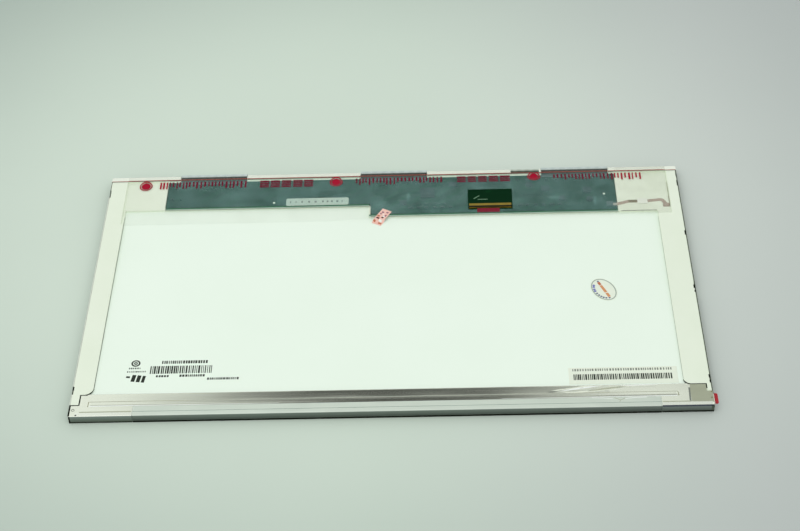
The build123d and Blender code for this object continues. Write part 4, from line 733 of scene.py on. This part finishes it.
discs("film_print_dots", [(*spot, DOT_RADIUS) for spot in spots], film_top, ink["red"], "red_label")
ringed = [(*spot, RING_RADIUS, RING_RADIUS, RING_WIDE) for spot in spots]
rings("film_print_rings", ringed, film_top, ink["red"], "red_label")
# The long line is print and painted shade of the lip's edge at once; past the film it is painted shade only.
line_x = (FILM_X[0] + LINE_INSET, FILM_X[1] - LINE_INSET)
bars("film_print_line_and_lip_shade", [(*line_x, *LINE_Y)], film_top, ink["line"], "red_label", cells=(120, 1))
bars("film_print_red_field", [(52.8, 66.8, 64.5, 67.2)], film_top, red_paper, "red_label", cells=(8, 4))
for side, x0, x1 in (("left", -179.3, line_x[0]), ("right", line_x[1], 179.3)):
    bars("lip_edge_shade_" + side, [(x0, x1, 100.6, 101.1)], flat(LIP_TOP), ink["line"], "black_tape")

# Reflector print: a bar code, rows of small marks, a ring and bold slanted bars.
code = dashes(-137.2, -101.2, -71.4, -65.2, (0.3, 1.1), (0.3, 0.75))
rows = np.concatenate([code, dashes(-131, -104, -63.4, -61.0), dashes(-133.4, -125, -74.2, -72.6),
                       dashes(-120, -104.5, -74.2, -72.4), dashes(-104, -86, -77.0, -75.2),
                       dashes(-149.5, -142.6, -67.3, -66.1, (0.4, 0.9)),
                       dashes(-150.3, -138.6, -70.0, -68.9, (0.4, 0.9))])
bars("reflector_print_bars", rows, reflector_rear, ink["black"], "chip")
bars("reflector_print_bold_bars", [(-147.2, -145.0, -77.8, -72.4), (-144.2, -142.0, -77.8, -72.4),
                                   (-141.2, -139.4, -77.8, -72.4), (-150.5, -148.3, -75.2, -73.8)],
     reflector_rear, ink["black"], "chip", turn=-8, about=(-143.5, -75))
rings("reflector_print_ring", [(-146.0, -62.7, 2.6, 2.6, 0.9), (-146.0, -62.7, 1.1, 1.1, 0.7)],
      reflector_rear, ink["black"], "chip")

# Print on the labels and the oval sticker.
OVAL, OVAL_LEAN, OVAL_HALF_AXES, DOTS_HALF_AXES = (125.7, -7.8), 24, (6.7, 9.7), (5.3, 7.8)
on_label = raised(reflector_rear, LABEL)
code = dashes(103.1, 158.6, -82.9, -78.4, (0.3, 1.0), (0.25, 0.6))
bars("label_print_bars", code, on_label, ink["black"], "chip")
rows = dashes(102.8, 158.6, -75.9, -74.1, (0.5, 1.0), (0.5, 0.9))
bars("label_print_row", rows, on_label, ink["grey"], "chip")
rings("oval_print_ring", [(*OVAL, *OVAL_HALF_AXES, 0.55)], on_label, ink["sage"], "paper", turn=OVAL_LEAN)
for name, y0, y1, key in (("far", -3.4, -0.8, "rust"), ("middle", -10.6, -3.9, "orange"),
                          ("near", -14.8, -11.2, "orange")):
    bars("oval_print_bar_" + name, [(124.9, 126.6, y0, y1)], on_label, ink[key], "paper", turn=OVAL_LEAN,
         about=OVAL)
# Dots along an ellipse inside the ring, by their angle from its far end.
for key, degrees, radius in (("violet", (44, 56, 72, 84), 0.8),
                             ("slate", (100, 114, 128, 141, 156, 176, 358), 0.62)):
    around = np.radians(degrees)
    x, y = turned(-DOTS_HALF_AXES[0] * np.sin(around), DOTS_HALF_AXES[1] * np.cos(around), OVAL_LEAN, OVAL)
    dots = np.stack([x, y, np.full(len(x), radius)], -1)
    discs("oval_print_dots_" + key, dots, on_label, ink[key], "paper")

# Print on the board and its label, and shades in holes and along edges.
rows = dashes(-64.5, -30, 77.4, 79.2, (0.4, 1.4), (0.9, 3.4))
bars("board_label_print", rows, flat(BOARD_TOP + LABEL), ink["grey"], "chip")
rows = dashes(53.4, 60.0, 76.8, 77.5, (0.4, 0.7), (0.15, 0.25))
bars("board_silk_row", rows, flat(BOARD_TOP), ink["silk"], "paper")
bars("board_silk_stroke", [(50.3, 54.9, 78.9, 79.5)], flat(BOARD_TOP), ink["silk"], "paper", turn=39,
     about=(52.5, 79.3))
# A grey ring painted as the shade round a dimple in the lamp cover, which has no dimple in its shape.
rings("cover_dimple_shade_ring", [(-177.2, -99.6, 0.95, 0.95, 0.35)], flat(COVER_Z), ink["grey"], "foil")
discs("board_hole_shade", [(-139.45, 82.8, 0.96), (-133.95, 82.4, 0.52)], flat(BOARD_UNDER), shade_fill, "chip")
discs("lip_end_shade", [(-175.1, -103.9, 0.5)], flat(LIP_TOP), shade_fill, "black_tape")
path = run((172.5, 75.5), (172.5, 90.0))
ribbon("film_right_edge_shade", path, 0.3, film_top, ink["faint"])
path = run((172.3, 66.8), (172.4, 75.5))
ribbon("flex_end_shade", path, 0.4, film_top, ink["shade"])
discs("corner_amber_spots", [(178.6, -94.4, 0.5), (178.4, -98.9, 0.6)], flat(PATCH_TOP), ink["press"], "foil")

# Seal print: small bars, given across and along the seal from its middle.
SEAL, SEAL_TURN = np.array([-6.65, 62.2]), -30
SEAL_Y = (40.0, 58.15, 59.70)      # on the reflector, at the foot of the step and at its top
seal_z = [reflector_rear(0, SEAL_Y[0]), reflector_rear(0, SEAL_Y[1]), FILM_FLAT]


def on_seal(x, y):
    """Upper face of the seal: level on the film, then down a step onto the reflector."""
    return np.interp(y, SEAL_Y, seal_z) + LABEL + 0 * x


for key, rows in (
        ("maroon", [(-2.4, -0.4, -3.0, -1.7), (0.3, 1.7, -1.4, -0.2)]),
        ("white", [(0.0, 1.8, -3.9, -2.7), (0.4, 1.8, 0.0, 1.0), (-0.6, 0.4, 2.0, 2.8)]),
        ("rust", [(0.3, 2.6, -5.7, -4.4), (-3.0, -1.6, -5.6, -4.4), (-2.8, -1.1, -1.1, 0.2)]),
        ("plum", [(1.4, 2.4, 0.9, 2.4), (-1.9, -0.6, 3.1, 4.4), (0.7, 2.2, 4.1, 5.3),
                  (-2.2, -1.1, 1.4, 2.5)])):
    bars("seal_print_" + key, np.asarray(rows) + np.repeat(SEAL, 2), on_seal, ink[key], "paper",
         turn=SEAL_TURN, about=SEAL, cells=(3, 6))


# Stage: floor, camera, soft light, with lengths in metres

def floor_card(middle=(-0.05, 0.07), pale_to=0.13, dark_from=0.45, cool_from=0.2, patch=0.12):
    """Matt card painted pale grey-green, with painted light: paler round the panel and cool-tinted at the
    right.
    """
    material, tree, place = surface("pale_card")
    around = add(tree, "ShaderNodeMapping", {"Vector": place, "Location": (-middle[0], -middle[1], 0)})
    away = add(tree, "ShaderNodeVectorMath", {0: around}, operation="LENGTH")
    grain = add(tree, "ShaderNodeTexNoise", {"Vector": place, "Scale": 1 / patch, "Detail": 3.0})
    # Painted light falloff: the card darkens away from the panel.
    edge = add(tree, "ShaderNodeMapRange", {0: away, 1: pale_to, 2: dark_from, 3: 0.0, 4: 0.8},
               interpolation_type="SMOOTHSTEP")
    shade = add(tree, "ShaderNodeMath", {0: grain, 1: 0.08, 2: edge}, operation="MULTIPLY_ADD")
    colour = add(tree, "ShaderNodeMix", {0: shade, 6: tone("#D1DED0"), 7: tone("#95A29B")}, data_type="RGBA")
    across = add(tree, "ShaderNodeSeparateXYZ", {0: place}).outputs["X"]
    # Painted cool light towards the right.
    right = add(tree, "ShaderNodeMapRange", {0: across, 1: 0.0, 2: cool_from, 3: 0.0, 4: 0.3})
    painted_cool_light = add(tree, "ShaderNodeMix", {0: right, 6: colour, 7: tone("#D7D2D8")}, data_type="RGBA")
    coat(tree, {"Roughness": 0.8, "Specular IOR Level": 0.2, "Base Color": painted_cool_light})
    return material


FLOOR_HALF, FLOOR_DROP = 4.0, 0.00005
floor_x, floor_y = np.meshgrid([-FLOOR_HALF, FLOOR_HALF], [-FLOOR_HALF, FLOOR_HALF])
floor_points = np.stack([floor_x, floor_y, 0 * floor_x - FLOOR_DROP], -1)
floor_mesh = bpy.data.meshes.new("floor")
floor_mesh.from_pydata(floor_points.reshape(-1, 3).tolist(), [], [(0, 1, 3, 2)])
floor_mesh.materials.append(floor_card())
floor = bpy.data.objects.new("floor", floor_mesh)
bpy.context.scene.collection.objects.link(floor)

camera = bpy.data.objects.new("camera", bpy.data.cameras.new("camera"))
camera.data.lens = 82.93
camera.data.sensor_width = 36.0
camera.data.clip_start = 0.01
camera.location = (0.03312, -0.80940, 0.74675)
camera.rotation_euler = (0.8384, 0.03229, 0.00505)
bpy.context.scene.collection.objects.link(camera)
bpy.context.scene.camera = camera

softbox = bpy.data.objects.new("softbox", bpy.data.lights.new("softbox", "AREA"))
softbox.data.shape = "RECTANGLE"
softbox.data.size = 1.3
softbox.data.size_y = 1.0
softbox.data.energy = 4.0
softbox.location = (-0.3, -0.2, 1.25)
bpy.context.scene.collection.objects.link(softbox)

# Pale studio walls to 60 degrees up, a dimmer ceiling round the softbox, and beyond the panel a dark flag
# with a grey stand at its right. side is a direction's x over its y, and height its z.
WALL_GLOW, CEILING_GLOW, FLAG_SHADE, STAND_SHADE = 0.98, 0.3, 0.92, 0.32
world = bpy.data.worlds.new("studio")
bpy.context.scene.world = world
world.use_nodes = True
tree = world.node_tree
tree.nodes.clear()
toward = add(tree, "ShaderNodeTexCoord").outputs["Generated"]
across, depth, height = add(tree, "ShaderNodeSeparateXYZ", {0: toward}).outputs
side = add(tree, "ShaderNodeMath", {0: across, 1: depth}, operation="DIVIDE")
left, right, low, high, stand = [
    add(tree, "ShaderNodeMapRange", {0: value, 1: start, 2: stop, 3: first, 4: last},
        interpolation_type="SMOOTHSTEP")
    for value, start, stop, first, last in (
        (side, -0.28, -0.12, 0.0, 1.0), (side, 0.04, 0.16, 1.0, 0.0), (height, 0.672, 0.712, 0.0, 1.0),
        (height, 0.93, 0.975, 1.0, 0.0), (side, 0.165, 0.2, 0.0, 1.0))]
beyond = add(tree, "ShaderNodeMath", {0: depth, 1: 0.0}, operation="GREATER_THAN")
flag = add(tree, "ShaderNodeMath", {0: left, 1: right}, operation="MULTIPLY")
cut = add(tree, "ShaderNodeMath", {0: stand, 1: STAND_SHADE}, operation="MULTIPLY")
cut = add(tree, "ShaderNodeMath", {0: flag, 1: FLAG_SHADE, 2: cut}, operation="MULTIPLY_ADD")
for part in (low, high, beyond):
    cut = add(tree, "ShaderNodeMath", {0: cut, 1: part}, operation="MULTIPLY")
ceiling = add(tree, "ShaderNodeMapRange", {0: height, 1: 0.85, 2: 0.95, 3: WALL_GLOW, 4: CEILING_GLOW})
dim = add(tree, "ShaderNodeMath", {0: 1.0, 1: cut}, operation="SUBTRACT")
strength = add(tree, "ShaderNodeMath", {0: ceiling, 1: dim}, operation="MULTIPLY")
glow = add(tree, "ShaderNodeBackground", {"Color": tone("#FCFFFF"), "Strength": strength})
add(tree, "ShaderNodeOutputWorld", {"Surface": glow})

bpy.context.scene.view_settings.view_transform = "Standard"
